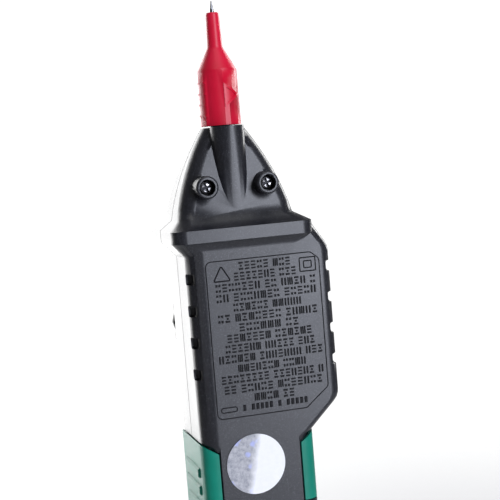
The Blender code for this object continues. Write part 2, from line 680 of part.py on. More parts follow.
def build_front_shell():
    shell = copy_form("front_shell")
    join(shell, CROWN)
    cut(shell, BACK_HALF, HEAD_CAVITY, NOSE_CAVITY)
    lower = box_mesh("display_room", (-BAY_HALF_WIDTH, FRONT_INSIDE, END_BLOCK),
                     (BAY_HALF_WIDTH, FAR, BAY_TOP + 2 * WALL))
    cut(shell, add_cutter("display_room", lower))
    for side in (1, -1):
        pillar = rod_along_y("pillar_" + ("left" if side > 0 else "right"),
                             BOSS_RADIUS - GAP, side * NOSE_SCREW_X, NOSE_SCREW_Z,
                               -PILLAR_FRONT, -GAP)
        join(shell, pillar)
    cut(shell, PROBE_BORE, JACK_BORE)
    recess = rod_along_y("dial_recess", DIAL_RADIUS + GAP, DIAL_X, DIAL_Z, -FAR, DIAL_FLOOR,
                         64)
    hub_hole = rod_along_y("hub_hole", HUB_RADIUS + GAP, DIAL_X, DIAL_Z, -FAR, -5 * MM)
    window_x = LENS_HALF_WIDTH - LENS_BORDER
    window = box_mesh("window_hole", (-window_x, -FAR, LENS_BOTTOM + LENS_BORDER),
                      (window_x, -9 * MM, LENS_TOP - LENS_BORDER))
    seat = box_mesh("lens_seat", (-LENS_HALF_WIDTH - GAP, -FAR, LENS_BOTTOM - GAP),
                    (LENS_HALF_WIDTH + GAP, -HALF_DEPTH + LENS_THICK, LENS_TOP + GAP))
    cut(shell, recess, hub_hole, add_cutter("window_hole", window),
        add_cutter("lens_seat", seat))
    for name, x in button_places():
        cut(shell, rod_along_y(name + "_hole", BUTTON_RADIUS + GAP, x, BUTTON_Z, -FAR,
                               -9 * MM, 28))
    cut(shell, rod_along_y("lamp_hole", LAMP_RADIUS + GAP, 0, lamp_height(), -FAR,
                           nose_front(lamp_height()) + 3.5 * MM, 24))
    cut(shell, grip_recess("recess_front_left", 1, -1),
        grip_recess("recess_front_right", -1, -1))
    cut_screw_holes(shell, "front_")
    return shell


# ---- Grips ---------------------------------------------------------------------------------
def grip_outline(side):
    outer = HANDLE_HALF_WIDTH
    inner = outer - GRIP_THICK
    depth = HALF_DEPTH
    floor = depth - GRIP_THICK
    edge = GRIP_EDGE
    corners = [(edge, depth), (outer, depth, GRIP_RADIUS), (outer, -depth, GRIP_RADIUS),
               (edge, -depth), (edge, -floor), (inner, -floor, GRIP_INNER_RADIUS),
               (inner, floor, GRIP_INNER_RADIUS), (edge, floor)]
    return [(side * point[0], point[1]) for point in fillet(corners)]


def build_grip(name, side):
    mesh = plate_mesh(name, grip_outline(side), GRIP_BOTTOM, GRIP_TOP, "XY")
    grip = add_piece(name, mesh, GREEN)
    inner = GRIP_EDGE - GAP
    slant = [(side * inner, grip_top_at(inner)), (side * FAR, grip_top_at(FAR)),
             (side * FAR, FAR + TIP), (side * inner, FAR + TIP)]
    slant_cutter = add_cutter(name + "_slant", plate_mesh(name + "_slant", slant, -FAR, FAR))
    lid_room = box_mesh(name + "_lid_room", (-FAR, COVER_INNER - GAP, -FAR),
                        (FAR, FAR, COVER_TOP + GAP))
    cut(grip, slant_cutter, add_cutter(name + "_lid_room", lid_room))
    ribs = bmesh.new()
    low_x, high_x = sorted((side * (HANDLE_HALF_WIDTH - GRIP_THICK / 2),
                            side * (HANDLE_HALF_WIDTH + RIB_PROUD)))
    z = GRIP_TOP - RIB_TOP_DROP
    while z > GRIP_BOTTOM + RIB_PITCH:
        place = (Matrix.Translation(((low_x + high_x) / 2, 0, z))
                 @ Matrix.Diagonal((high_x - low_x, 2 * RIB_HALF_SPAN, RIB_HEIGHT, 1)))
        bmesh.ops.create_cube(ribs, size=1.0, matrix=place)
        z -= RIB_PITCH
    rib_bars = add_cutter(name + "_ribs", mesh_from(name + "_ribs", ribs))
    add_bevel(rib_bars, 0.4 * MM, 1)
    join(grip, rib_bars)
    return grip


# ---- Probe, guard and nose internals --------------------------------------------------------
def build_probe():
    low = NOSE_TOP - NEEDLE_TAIL
    turned_piece("probe_needle", [(0, TIP), (0.12 * MM, TIP - 0.05 * MM),
                                  (NEEDLE_RADIUS, TIP - NEEDLE_POINT),
                                  (NEEDLE_RADIUS, low), (0, low)], STEEL)
    bore = NEEDLE_RADIUS + GAP
    top = NOSE_TOP + HOLDER_ABOVE
    flange_top = NOSE_TOP - HOLDER_FLANGE_DROP
    flange_low = flange_top - HOLDER_FLANGE_THICK
    bottom = NOSE_TOP - 15 * MM
    turned_piece("probe_holder", [(bore, top), (HOLDER_RADIUS, top),
                                  (HOLDER_RADIUS, flange_top),
                                  (HOLDER_FLANGE_RADIUS, flange_top),
                                  (HOLDER_FLANGE_RADIUS, flange_low),
                                  (HOLDER_RADIUS, flange_low),
                                  (HOLDER_RADIUS, bottom), (bore, bottom)],
                 RUBBER, closed=True)


def guard_body_radius(z):
    """The guard's body widens evenly from its shoulder to its base."""
    share = (z - GUARD_BOTTOM) / GUARD_BODY_LENGTH
    return GUARD_BASE_RADIUS + (GUARD_BODY_RADIUS - GUARD_BASE_RADIUS) * share


def guard_lathe(name):
    """Turns away all that stands more than the relief off the guard's body."""
    low = GUARD_BOTTOM - GAP
    high = GUARD_BOTTOM + GUARD_BODY_LENGTH + GAP
    profile = [(guard_body_radius(high) + RELIEF_PROUD, high), (2 * FAR, high),
               (2 * FAR, low), (guard_body_radius(low) + RELIEF_PROUD, low)]
    lathe = turned_piece(name, profile, RED, closed=True)
    PARTS.objects.unlink(lathe)
    CUTTERS.objects.link(lathe)
    lathe.hide_render = True
    return lathe


def guard_sign():
    """A raised triangular line on the guard's body, its point to the right."""
    low = SIGN_MIDDLE - SIGN_HEIGHT / 2
    high = SIGN_MIDDLE + SIGN_HEIGHT / 2
    half = SIGN_WIDTH / 2
    line = SIGN_LINE
    outer = [(half, high), (half, low), (-half, SIGN_MIDDLE)]
    inner = [(half - line, high - 2 * line), (half - line, low + 2 * line),
             (-half + 2 * line, SIGN_MIDDLE)]
    face = GUARD_BASE_RADIUS + FAR
    turn = (0, 0, math.radians(SIGN_TURN))
    place = (0, 0, GUARD_BOTTOM)
    sign = add_cutter("guard_sign", plate_mesh("guard_sign", outer, 0, face), place, turn)
    window = plate_mesh("guard_sign_window", inner, -FAR, FAR)
    core = rod_mesh("guard_core", HOLDER_RADIUS + 2 * GAP, GUARD_BOTTOM - FAR,
                    GUARD_BOTTOM + FAR)
    cut(sign, add_cutter("guard_sign_window", window, place, turn),
        add_cutter("guard_core", core), guard_lathe("guard_sign_lathe"))
    return sign


def guard_ledge(index):
    """One short ledge on the guard's side, for the fingers."""
    z = GUARD_BOTTOM + LEDGE_FIRST + LEDGE_PITCH * index
    name = "guard_ledge_" + str(index + 1)
    radius = guard_body_radius(z)
    mesh = box_mesh(name, (radius - LEDGE_ROOT, -LEDGE_HALF_SPAN, z),
                    (radius + FAR, LEDGE_HALF_SPAN, z + LEDGE_HEIGHT))
    ledge = add_cutter(name, mesh, (0, 0, 0), (0, 0, math.radians(LEDGE_TURN)))
    cut(ledge, guard_lathe(name + "_lathe"))
    return ledge


def build_guard():
    body_top = GUARD_BOTTOM + GUARD_BODY_LENGTH
    cone_top = body_top + GUARD_CONE_LENGTH
    needle_bore = NEEDLE_RADIUS + GAP
    holder_bore = HOLDER_RADIUS + GAP
    holder_top = NOSE_TOP + HOLDER_ABOVE + GAP
    edge = 0.2 * MM
    profile = [(needle_bore, GUARD_TOP), (GUARD_TOP_RADIUS - edge, GUARD_TOP),
               (GUARD_TOP_RADIUS, GUARD_TOP - 2 * edge), (GUARD_SLIM_RADIUS, cone_top + edge),
               (GUARD_SLIM_RADIUS + edge, cone_top - edge),
               (guard_body_radius(body_top) - edge, body_top + 2 * edge),
               (guard_body_radius(body_top), body_top), (GUARD_BASE_RADIUS, GUARD_BOTTOM),
               (holder_bore, GUARD_BOTTOM), (holder_bore, holder_top),
               (needle_bore, holder_top)]
    guard = turned_piece("tip_guard", profile, RED, closed=True)
    join(guard, guard_sign())
    for index in range(LEDGE_COUNT):
        join(guard, guard_ledge(index))
    return guard


def build_nose_internals():
    lamp_z = lamp_height()
    mouth = nose_front(lamp_z)
    profile = [(0, -mouth + LAMP_PROUD), (LAMP_RADIUS * 0.7, -mouth + LAMP_PROUD * 0.6),
               (LAMP_RADIUS, -mouth - 0.5 * MM), (LAMP_RADIUS, -mouth - 3.0 * MM),
               (0, -mouth - 3.0 * MM)]
    turned_piece("sensor_lamp_lens", profile, LAMP_RED, (0, 0, lamp_z), FACE_FRONT)
    plate_z = NOSE_TOP - 17 * MM
    add_piece("field_sensor_plate",
              box_mesh("field_sensor_plate", (3.6 * MM, -3.4 * MM, plate_z - 4 * MM),
                       (4.1 * MM, 2.0 * MM, plate_z + 4 * MM)), BRASS)
    tail = NOSE_TOP - NEEDLE_TAIL
    add_piece("probe_contact_spring",
              box_mesh("probe_contact_spring", (-1.5 * MM, -BOARD_FRONT + BOARD_THICK + GAP,
                                                tail - 1.5 * MM),
                       (1.5 * MM, 2.0 * MM, tail - GAP)), BRASS)


# ---- Screws ----------------------------------------------------------------------------------
def build_screw(name, x, z, top, head_thick, length):
    """A pan-head screw from the back, its head's face at depth top."""
    under = top - head_thick
    tip = top - length
    screw = turned_piece(name, [(0, top), (SCREW_HEAD_RADIUS * 0.6, top - 0.06 * MM),
                                (SCREW_HEAD_RADIUS, top - 0.4 * MM),
                                (SCREW_HEAD_RADIUS, under), (SCREW_SHAFT_RADIUS, under),
                                (SCREW_SHAFT_RADIUS, tip + 0.8 * MM),
                                (0.3 * SCREW_SHAFT_RADIUS, tip), (0, tip)],
                         SCREW_STEEL, (x, 0, z), FACE_BACK)
    reach = SCREW_HEAD_RADIUS * 0.68
    for turn in (0, 90):
        slot = box_mesh(name + "_slot_" + str(turn),
                        (-reach, -CROSS_WIDTH / 2, top - CROSS_DEPTH),
                        (reach, CROSS_WIDTH / 2, top + 1 * MM))
        cutter = add_cutter(name + "_slot_" + str(turn), slot)
        cutter.parent = screw
        cutter.rotation_euler = (0, 0, math.radians(turn + 20))
        cut(screw, cutter)
    return screw


# ---- Batteries, fuse, cover and jack -----------------------------------------------------------
def build_battery_bay():
    foot = END_BLOCK + GAP
    for name, side in (("battery_left", 1), ("battery_right", -1)):
        x = side * BATTERY_X
        radius = BATTERY_DIAMETER / 2
        nub = CELL_TOP - 1.0 * MM
        turned_piece(name, [(0, CELL_TOP), (1.9 * MM, CELL_TOP), (1.9 * MM, nub),
                            (radius - 0.4 * MM, nub), (radius, nub - 0.4 * MM),
                            (radius, CELL_BOTTOM + 0.4 * MM),
                            (radius - 0.4 * MM, CELL_BOTTOM), (0, CELL_BOTTOM)],
                     CELL_SKIN, (x, BATTERY_Y, 0))
        add_piece(name.replace("battery", "contact_plate"),
                  box_mesh("contact_plate",
                           (x - CONTACT_HALF_WIDTH, BATTERY_Y - CONTACT_HALF_DEPTH, foot),
                           (x + CONTACT_HALF_WIDTH, BATTERY_Y + CONTACT_HALF_DEPTH,
                            foot + CONTACT_THICK)), STEEL)
        build_spring(name.replace("battery", "battery_spring"), x)
    top = CELL_TOP + GAP
    add_piece("battery_link_plate",
              box_mesh("battery_link_plate",
                       (-BAY_HALF_WIDTH + 1 * MM, BATTERY_Y - CONTACT_HALF_DEPTH, top),
                       (BAY_HALF_WIDTH - 1 * MM, BATTERY_Y + CONTACT_HALF_DEPTH,
                        top + CONTACT_THICK)), STEEL)


def build_spring(name, x):
    """A conical coil under each cell."""
    low = END_BLOCK + 2 * GAP + CONTACT_THICK + SPRING_WIRE
    high = CELL_BOTTOM - GAP - SPRING_WIRE
    turns = 3
    count = 10 * turns
    curve = bpy.data.curves.new(name, "CURVE")
    curve.dimensions = "3D"
    curve.bevel_depth = SPRING_WIRE
    curve.bevel_resolution = 1
    curve.use_fill_caps = True
    spline = curve.splines.new("POLY")
    spline.points.add(count)
    for index, point in enumerate(spline.points):
        share = index / count
        angle = 2 * math.pi * turns * share
        radius = SPRING_RADIUS * (1 - 0.3 * share)
        point.co = (radius * math.cos(angle), radius * math.sin(angle),
                    low + (high - low) * share, 1.0)
    curve.materials.append(STEEL)
    spring = bpy.data.objects.new(name, curve)
    spring.location = (x, BATTERY_Y, 0)
    spring.parent = TOOL_AXIS
    PARTS.objects.link(spring)
    return spring


def build_fuse():
    """A glass fuse lying across the tool, its two caps and the clips under them."""
    half = FUSE_LENGTH / 2
    y = BATTERY_Y + 1.0 * MM
    across = (0, math.radians(90), 0)
    low = -(half - FUSE_CAP) + GAP
    glass = rod_mesh("fuse_body", FUSE_RADIUS - 0.2 * MM, low, -low, 20)
    add_piece("fuse_body", glass, WHITE, (0, y, FUSE_Z), across)
    for name, side in (("left", 1), ("right", -1)):
        low, high = sorted((side * (half - FUSE_CAP), side * half))
        cap = rod_mesh("fuse_cap_" + name, FUSE_RADIUS, low, high, 20)
        add_piece("fuse_cap_" + name, cap, STEEL, (0, y, FUSE_Z), across)
        middle = side * (half - FUSE_CAP / 2)
        clip = box_mesh("fuse_clip_" + name, (middle - 1.6 * MM, 1.4 * MM,
                                              FUSE_Z - FUSE_RADIUS - 0.7 * MM),
                        (middle + 1.6 * MM, y + 1.2 * MM, FUSE_Z + FUSE_RADIUS + 0.7 * MM))
        piece = add_piece("fuse_clip_" + name, clip, BRASS)
        throat = rod_mesh("throat_" + name, FUSE_RADIUS + GAP, -FAR, FAR, 24)
        gate = box_mesh("gate_" + name, (-FAR, y, FUSE_Z - FUSE_RADIUS * 0.9),
                        (FAR, FAR, FUSE_Z + FUSE_RADIUS * 0.9))
        cut(piece, add_cutter("throat_" + name, throat, (0, y, FUSE_Z), across),
            add_cutter("gate_" + name, gate))


def build_cover():
    depth = HALF_DEPTH
    outer = HANDLE_HALF_WIDTH
    inner = COVER_INNER
    centre_x = outer - GRIP_RADIUS
    centre_y = depth - GRIP_RADIUS
    steps = 5
    start = math.asin((inner - centre_y) / GRIP_RADIUS)
    angles = [start + (math.pi / 2 - start) * step / steps for step in range(steps + 1)]
    right = [(centre_x + GRIP_RADIUS * math.cos(a), centre_y + GRIP_RADIUS * math.sin(a))
             for a in angles]
    outline = right + [(-x, y) for x, y in reversed(right)]
    mesh = plate_mesh("battery_cover", outline, GRIP_BOTTOM, COVER_TOP, "XY")
    cover = add_piece("battery_cover", mesh, BLACK)
    top = HALF_DEPTH - GAP
    mouth = rod_along_y("cover_screw_mouth", SCREW_HEAD_RADIUS + GAP, 0, COVER_SCREW_Z,
                        top - COVER_HEAD_THICK - GAP, FAR, 28)
    hole = rod_along_y("cover_hole", SCREW_SHAFT_RADIUS + GAP, 0, COVER_SCREW_Z, -FAR, FAR, 20)
    cut(cover, mouth, hole)
    build_screw("cover_screw", 0, COVER_SCREW_Z, top, COVER_HEAD_THICK, COVER_SCREW_LENGTH)
    return cover


def build_jack():
    tube = JACK_BORE_RADIUS + JACK_TUBE_WALL
    low = 0.3 * MM
    turned_piece("jack_sleeve", [(tube + GAP, JACK_DEPTH), (JACK_SLEEVE_RADIUS, JACK_DEPTH),
                                 (JACK_SLEEVE_RADIUS, low), (tube + GAP, low)],
                 RUBBER, (0, JACK_Y, 0), closed=True)
    turned_piece("jack_contact", [(JACK_BORE_RADIUS, JACK_DEPTH), (tube, JACK_DEPTH),
                                  (tube, 1.2 * MM), (JACK_BORE_RADIUS, 1.2 * MM)],
                 BRASS, (0, JACK_Y, 0), closed=True)


# ---- Dial, buttons, display and board ------------------------------------------------------------
def build_dial():
    count = 4 * DIAL_SCALLOPS
    outline = []
    for index in range(count):
        angle = 2 * math.pi * index / count
        wave = (1 - math.cos(DIAL_SCALLOPS * angle)) / 2
        radius = DIAL_RADIUS - DIAL_SCALLOP_DEPTH * wave
        outline.append((radius * math.cos(angle), radius * math.sin(angle)))
    mesh = plate_mesh("function_dial", outline, DIAL_FACE, DIAL_BACK)
    dial = add_piece("function_dial", mesh, BLACK, (DIAL_X, 0, DIAL_Z))
    add_bevel(dial, 0.4 * MM, 2)
    half = DIAL_BAR_WIDTH / 2
    reach = DIAL_RADIUS - 2.2 * MM
    bar = [(half, reach - 4 * MM, 1 * MM), (0.4 * half, reach, 0.6 * MM),
           (-0.4 * half, reach, 0.6 * MM), (-half, reach - 4 * MM, 1 * MM),
           (-half, -reach, 2 * MM), (half, -reach, 2 * MM)]
    bar_mesh = plate_mesh("dial_bar", fillet(bar, 4), DIAL_FACE - DIAL_BAR_HEIGHT,
                          DIAL_FACE + 0.5 * MM)
    bar_piece = add_cutter("dial_bar", bar_mesh, (DIAL_X, 0, DIAL_Z))
    add_bevel(bar_piece, 0.35 * MM, 2)
    hub = rod_along_y("dial_hub", HUB_RADIUS, DIAL_X, DIAL_Z, DIAL_BACK - 0.5 * MM,
                      FRONT_INSIDE - GAP)
    join(dial, bar_piece, hub)
    rotor_top = -FRONT_INSIDE - GAP
    turned_piece("dial_rotor", [(0, rotor_top), (ROTOR_RADIUS, rotor_top),
                                (ROTOR_RADIUS, rotor_top - ROTOR_THICK),
                                (0, rotor_top - ROTOR_THICK)],
                 GREY_KEY, (DIAL_X, 0, DIAL_Z), FACE_FRONT)
    wiper_top = rotor_top - ROTOR_THICK - GAP
    for name, side in (("wiper_inner", 5.0 * MM), ("wiper_outer", 8.5 * MM)):
        mesh = box_mesh(name, (-1.2 * MM, side - 1.2 * MM, BOARD_FRONT + GAP),
                        (1.2 * MM, side + 1.2 * MM, wiper_top))
        add_piece(name, mesh, BRASS, (DIAL_X, 0, DIAL_Z), FACE_FRONT)


def build_buttons():
    under = -FRONT_INSIDE - GAP
    for name, x in button_places():
        top = HALF_DEPTH + BUTTON_PROUD
        turned_piece(name, [(0, top), (BUTTON_RADIUS * 0.8, top - 0.05 * MM),
                            (BUTTON_RADIUS, top - 0.4 * MM), (BUTTON_RADIUS, under),
                            (BUTTON_RADIUS + 0.6 * MM, under),
                            (BUTTON_RADIUS + 0.6 * MM, under - BUTTON_FLANGE),
                            (0, under - BUTTON_FLANGE)],
                     GREY_KEY, (x, 0, BUTTON_Z), FACE_FRONT)
    mat_top = -(under - BUTTON_FLANGE - BUTTON_TRAVEL - GAP)
    mat_x = BUTTON_PITCH + BUTTON_RADIUS
    add_piece("key_mat", box_mesh("key_mat", (-mat_x, mat_top, BUTTON_Z - BUTTON_RADIUS),
                                  (mat_x, -BOARD_FRONT - GAP, BUTTON_Z + BUTTON_RADIUS)),
              RUBBER)


def build_display():
    lens = box_mesh("display_window", (-LENS_HALF_WIDTH, -HALF_DEPTH + 0.15 * MM, LENS_BOTTOM),
                    (LENS_HALF_WIDTH, -HALF_DEPTH + LENS_THICK - GAP, LENS_TOP))
    add_piece("display_window", lens, CLEAR)
    glass_front = FRONT_INSIDE + GAP
    glass_back = glass_front + GLASS_THICK
    add_piece("display_glass", box_mesh("display_glass", (-LENS_HALF_WIDTH, glass_front,
                                                          LENS_BOTTOM),
                                        (LENS_HALF_WIDTH, glass_back, LENS_TOP)), DISPLAY)
    add_piece("zebra_strip", box_mesh("zebra_strip", (-LENS_HALF_WIDTH + 1 * MM,
                                                      glass_back + GAP, LENS_BOTTOM + 1 * MM),
                                      (LENS_HALF_WIDTH - 1 * MM, -BOARD_FRONT - GAP,
                                       LENS_BOTTOM + 3 * MM)), RUBBER)


def build_board():
    slim = BAY_HALF_WIDTH - 1.1 * MM
    wide = BULGE_REACH - 3.6 * MM
    low = END_BLOCK + 2 * MM
    shoulder = HANDLE_TOP + 8 * MM
    top = BELT_BOTTOM - 1 * MM
    outline = [(slim, low), (slim, top), (-wide, top), (-wide, shoulder + 4 * MM),
               (-slim, shoulder), (-slim, low)]
    front = -BOARD_FRONT
    add_piece("circuit_board", plate_mesh("circuit_board", outline, front,
                                          front + BOARD_THICK), BOARD_GREEN)
    back = front + BOARD_THICK + GAP
    add_piece("meter_chip", box_mesh("meter_chip", (-6 * MM, back, DIAL_Z - 6 * MM),
                                     (6 * MM, back + 1.6 * MM, DIAL_Z + 6 * MM)), RUBBER)
    buzzer = rod_mesh("buzzer_disc", 7.0 * MM, 0, 3.5 * MM)
    add_piece("buzzer_disc", buzzer, RUBBER, (0, back, BUTTON_Z - 9 * MM), FACE_BACK)


def build_label():
    label = rod_mesh("quality_label", STICKER_RADIUS, HALF_DEPTH + 0.02 * MM,
                     HALF_DEPTH + 0.02 * MM + STICKER_THICK, 64)
    add_piece("quality_label", label, FOIL, (STICKER_X, 0, STICKER_Z), FACE_BACK)


build_back_shell()
build_front_shell()
build_grip("grip_left", 1)
build_grip("grip_right", -1)
build_probe()
build_guard()
build_nose_internals()
for screw_name, screw_x, screw_z, screw_top in SCREW_PLACES:
    build_screw(screw_name, screw_x, screw_z, screw_top, SCREW_HEAD_THICK, SCREW_LENGTH)
build_battery_bay()
build_fuse()
build_cover()
build_jack()
build_dial()
build_buttons()
build_display()
build_board()
build_label()
for piece in PARTS.objects:
    if piece.type == "MESH":
        piece.data.shade_smooth()
        piece.data.set_sharp_from_angle(angle=math.radians(35))
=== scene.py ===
# %% [markdown]
# # A pen-type voltage tester
# The tool stands on its flat end with the needle up. The solid parts are already made and
# packed, so this lesson loads them as a fixed frame and builds the looks around them:
# smooth skins, moulded relief, a foil sticker, a readable front, light and a camera.

# %% Load the frame
import json
import math
import random

import bmesh
import bpy
from mathutils import Matrix, Vector


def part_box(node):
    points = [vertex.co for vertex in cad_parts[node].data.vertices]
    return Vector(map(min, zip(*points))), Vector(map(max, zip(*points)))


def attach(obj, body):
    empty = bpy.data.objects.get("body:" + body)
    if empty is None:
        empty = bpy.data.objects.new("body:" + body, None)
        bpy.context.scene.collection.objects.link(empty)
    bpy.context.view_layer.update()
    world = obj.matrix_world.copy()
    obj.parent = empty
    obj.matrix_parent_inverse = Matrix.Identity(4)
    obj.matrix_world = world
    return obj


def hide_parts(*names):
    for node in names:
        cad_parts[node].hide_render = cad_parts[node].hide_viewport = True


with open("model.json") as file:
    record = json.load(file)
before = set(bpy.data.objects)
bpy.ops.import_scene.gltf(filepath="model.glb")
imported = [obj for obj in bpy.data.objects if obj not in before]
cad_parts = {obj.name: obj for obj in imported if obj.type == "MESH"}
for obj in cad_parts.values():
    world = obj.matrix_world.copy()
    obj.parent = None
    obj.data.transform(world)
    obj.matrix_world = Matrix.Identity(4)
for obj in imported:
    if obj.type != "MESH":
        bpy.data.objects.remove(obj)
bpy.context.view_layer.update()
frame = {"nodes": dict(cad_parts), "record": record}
MM = 0.001

# %% [markdown]
# Everything on the back is placed from two lines: the needle's axis and the flat back.
# The needle's box gives the first. The sticker lies a hair above the flat back, so its
# underside gives the second.

# %% Find the lines that everything is placed from
STICKER_LIFT = 0.02 * MM
needle_low, needle_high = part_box("probe_needle")
AXIS_X = (needle_low.x + needle_high.x) / 2
AXIS_Y = (needle_low.y + needle_high.y) / 2
label_low, label_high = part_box("quality_label")
BACK_Y = label_low.y - STICKER_LIFT
print("axis", round(AXIS_X / MM, 2), round(AXIS_Y / MM, 2),
      "flat back", round(BACK_Y / MM, 2))


def at(x, z, y=0.0):
    """A point in millimetres from the needle's axis, the foot and the flat back."""
    return Vector((AXIS_X + x * MM, BACK_Y + y * MM, z * MM))


# %% [markdown]
# The camera comes first, because every later choice is judged through it. It looks at the
# flat back from a little to one side and slightly above, rolled a few degrees, and close
# enough that the lower handle is outside the picture. A camera turned by given angles needs
# its axes as columns of a matrix: right, up, and the way back towards the viewer.

# %% Camera
LENS = 85.0
SENSOR = 36.0
AZIMUTH = math.radians(163.96)
ELEVATION = math.radians(4.66)
ROLL = math.radians(-4.61)
DISTANCE = 285.2 * MM
AIM_SIDE = 4.67 * MM
AIM_HEIGHT = 148.17 * MM
AIM = Vector((AXIS_X - AIM_SIDE, AXIS_Y, AIM_HEIGHT))
CLIP_NEAR = 0.01
CLIP_FAR = 20.0


def camera_matrix(azimuth, elevation, roll, distance, aim):
    """World matrix of a camera that looks at a point from a distance."""
    back = Vector((math.sin(azimuth) * math.cos(elevation),
                   -math.cos(azimuth) * math.cos(elevation), math.sin(elevation)))
    level = (-back).cross(Vector((0, 0, 1))).normalized()
    upright = level.cross(-back)
    right = level * math.cos(roll) + upright * math.sin(roll)
    up = upright * math.cos(roll) - level * math.sin(roll)
    turn = Matrix((right, up, back)).transposed().to_4x4()
    return Matrix.Translation(aim + back * distance) @ turn


view = bpy.data.cameras.new("bench_camera")
view.lens = LENS
view.sensor_width = SENSOR
view.clip_start = CLIP_NEAR
view.clip_end = CLIP_FAR
camera = bpy.data.objects.new("bench_camera", view)
camera.matrix_world = camera_matrix(AZIMUTH, ELEVATION, ROLL, DISTANCE, AIM)
bpy.context.scene.collection.objects.link(camera)
bpy.context.scene.camera = camera
print("camera at", [round(value, 3) for value in camera.matrix_world.translation])

# %% [markdown]
# Shader maths is easier to read as arithmetic than as a drawing of nodes. One small class
# holds a socket. Adding or multiplying two of them adds a Math node, and `node` adds any
# other kind, with its settings first and then its sockets.

# %% A socket that does arithmetic
class Wire:
    """An output socket of a material's tree."""

    def __init__(self, tree, socket=None):
        self.tree = tree
        self.socket = socket

    def node(self, kind, settings=None, sockets=None, out=0):
        made = self.tree.nodes.new(kind)
        for key, value in (settings or {}).items():
            if key == "stops":
                set_stops(made.color_ramp, value)
            else:
                setattr(made, key, value)
        for key, value in (sockets or {}).items():
            if isinstance(value, Wire):
                self.tree.links.new(value.socket, made.inputs[key])
            else:
                made.inputs[key].default_value = value
        return Wire(self.tree, made.outputs[out])

    def maths(self, operation, first, second):
        return self.node("ShaderNodeMath", {"operation": operation}, {0: first, 1: second})

    def __add__(self, other):
        return self.maths("ADD", self, other)

    __radd__ = __add__

    def __mul__(self, other):
        return self.maths("MULTIPLY", self, other)

    __rmul__ = __mul__

    def __sub__(self, other):
        return self.maths("SUBTRACT", self, other)

    def __rsub__(self, other):
        return self.maths("SUBTRACT", other, self)

    def above(self, limit):
        return self.maths("GREATER_THAN", self, limit)


print("Wire adds, subtracts, multiplies and compares")

# %% [markdown]
# A colour ramp turns one number into a tone. Its stops are given as plain pairs: where the
# stop is, and either a grey level or a colour.

# %% Stops of a ramp
def set_stops(ramp, stops):
    """Stops of a colour ramp as (position, grey or colour)."""
    while len(ramp.elements) > 1:
        ramp.elements.remove(ramp.elements[-1])
    for index, (place, tone) in enumerate(stops):
        element = ramp.elements[0] if index == 0 else ramp.elements.new(place)
        element.position = place
        element.color = (tone, tone, tone, 1) if isinstance(tone, float) else (*tone, 1)


print("ramps take pairs")

# %% [markdown]
# Each finish starts the same way: a Principled shader and the object's own coordinates in
# metres. Sizes of a pattern are then real: a noise scale of 4000 has cells of a quarter of
# a millimetre. Numbers that are the same all over go straight on the shader's sockets.

# %% Start a finish
FINISHES = {}


def start_finish(name, **constants):
    """A material with a Principled shader, and a Wire of its object coordinates."""
    material = bpy.data.materials.new(name)
    material.use_nodes = True
    tree = material.node_tree
    shader = tree.nodes["Principled BSDF"]
    for key, value in constants.items():
        shader.inputs[key.replace("_", " ")].default_value = value
    place = Wire(tree).node("ShaderNodeTexCoord", out=3)
    FINISHES[name] = material
    return shader, place


def noise(place, scale, detail=2.0, roughness=0.5):
    return place.node("ShaderNodeTexNoise", None,
                      {"Vector": place, "Scale": scale, "Detail": detail,
                       "Roughness": roughness})


def blend(place, amount, first, second):
    """A colour between two colours."""
    sockets = {"Factor": amount, 6: (*first, 1) if isinstance(first, tuple) else first,
               7: (*second, 1) if isinstance(second, tuple) else second}
    return place.node("ShaderNodeMix", {"data_type": "RGBA"}, sockets, out=2)


def ramp(value, *stops):
    return value.node("ShaderNodeValToRGB", {"stops": stops}, {"Fac": value})


def bump(place, height, strength, depth):
    return place.node("ShaderNodeBump", None, {"Height": height, "Strength": strength,
                                               "Distance": depth})


def feed(shader, **wires):
    for key, wire in wires.items():
        shader.id_data.links.new(wire.socket, shader.inputs[key.replace("_", " ")])


print("a finish starts from a Principled shader and object coordinates")

# %% [markdown]
# ** Black shell plastic.** Spark-eroded moulds leave a fine grain that sparkles under a
# soft box. Three noises do it: a coarse one for slow changes of tone, a quarter-millimetre
# grain that lifts the colour and the surface, and rare bright specks. The specks are painted
# glints: the sparkle is painted into the colour as spots of pale tone.

# %% Shell plastics
GRAIN_SCALE = 4200.0
BROAD_SCALE = 55.0
GLINT_SCALE = 7600.0
GLINT_LEVEL = 0.745
GLINT_TONE = (0.55, 0.56, 0.62)


def moulded_plastic(name, dark, light, gloss, glint_amount=0.2, depth=0.02, **constants):
    shader, place = start_finish(name, **constants)
    grain = noise(place, GRAIN_SCALE, 3.0, 0.65)
    broad = noise(place, BROAD_SCALE, 3.0)
    # Rare bright specks: painted glints, spots of pale colour standing in for the grain's
    # sparkle.
    painted_glints = noise(place, GLINT_SCALE, 0.0).above(GLINT_LEVEL)
    tone = blend(place, ramp(grain, (0.32, 0.0), (0.7, 1.0)), dark, light)
    tone = blend(place, painted_glints * glint_amount, tone, GLINT_TONE)
    rough = gloss + 0.14 * (grain - 0.5) + 0.1 * (broad - 0.5)
    feed(shader, Base_Color=tone, Roughness=rough,
         Normal=bump(place, grain, 0.55, depth * MM))
    return FINISHES[name]


moulded_plastic("black_shell", (0.005, 0.0053, 0.0068), (0.019, 0.0195, 0.026), 0.33)
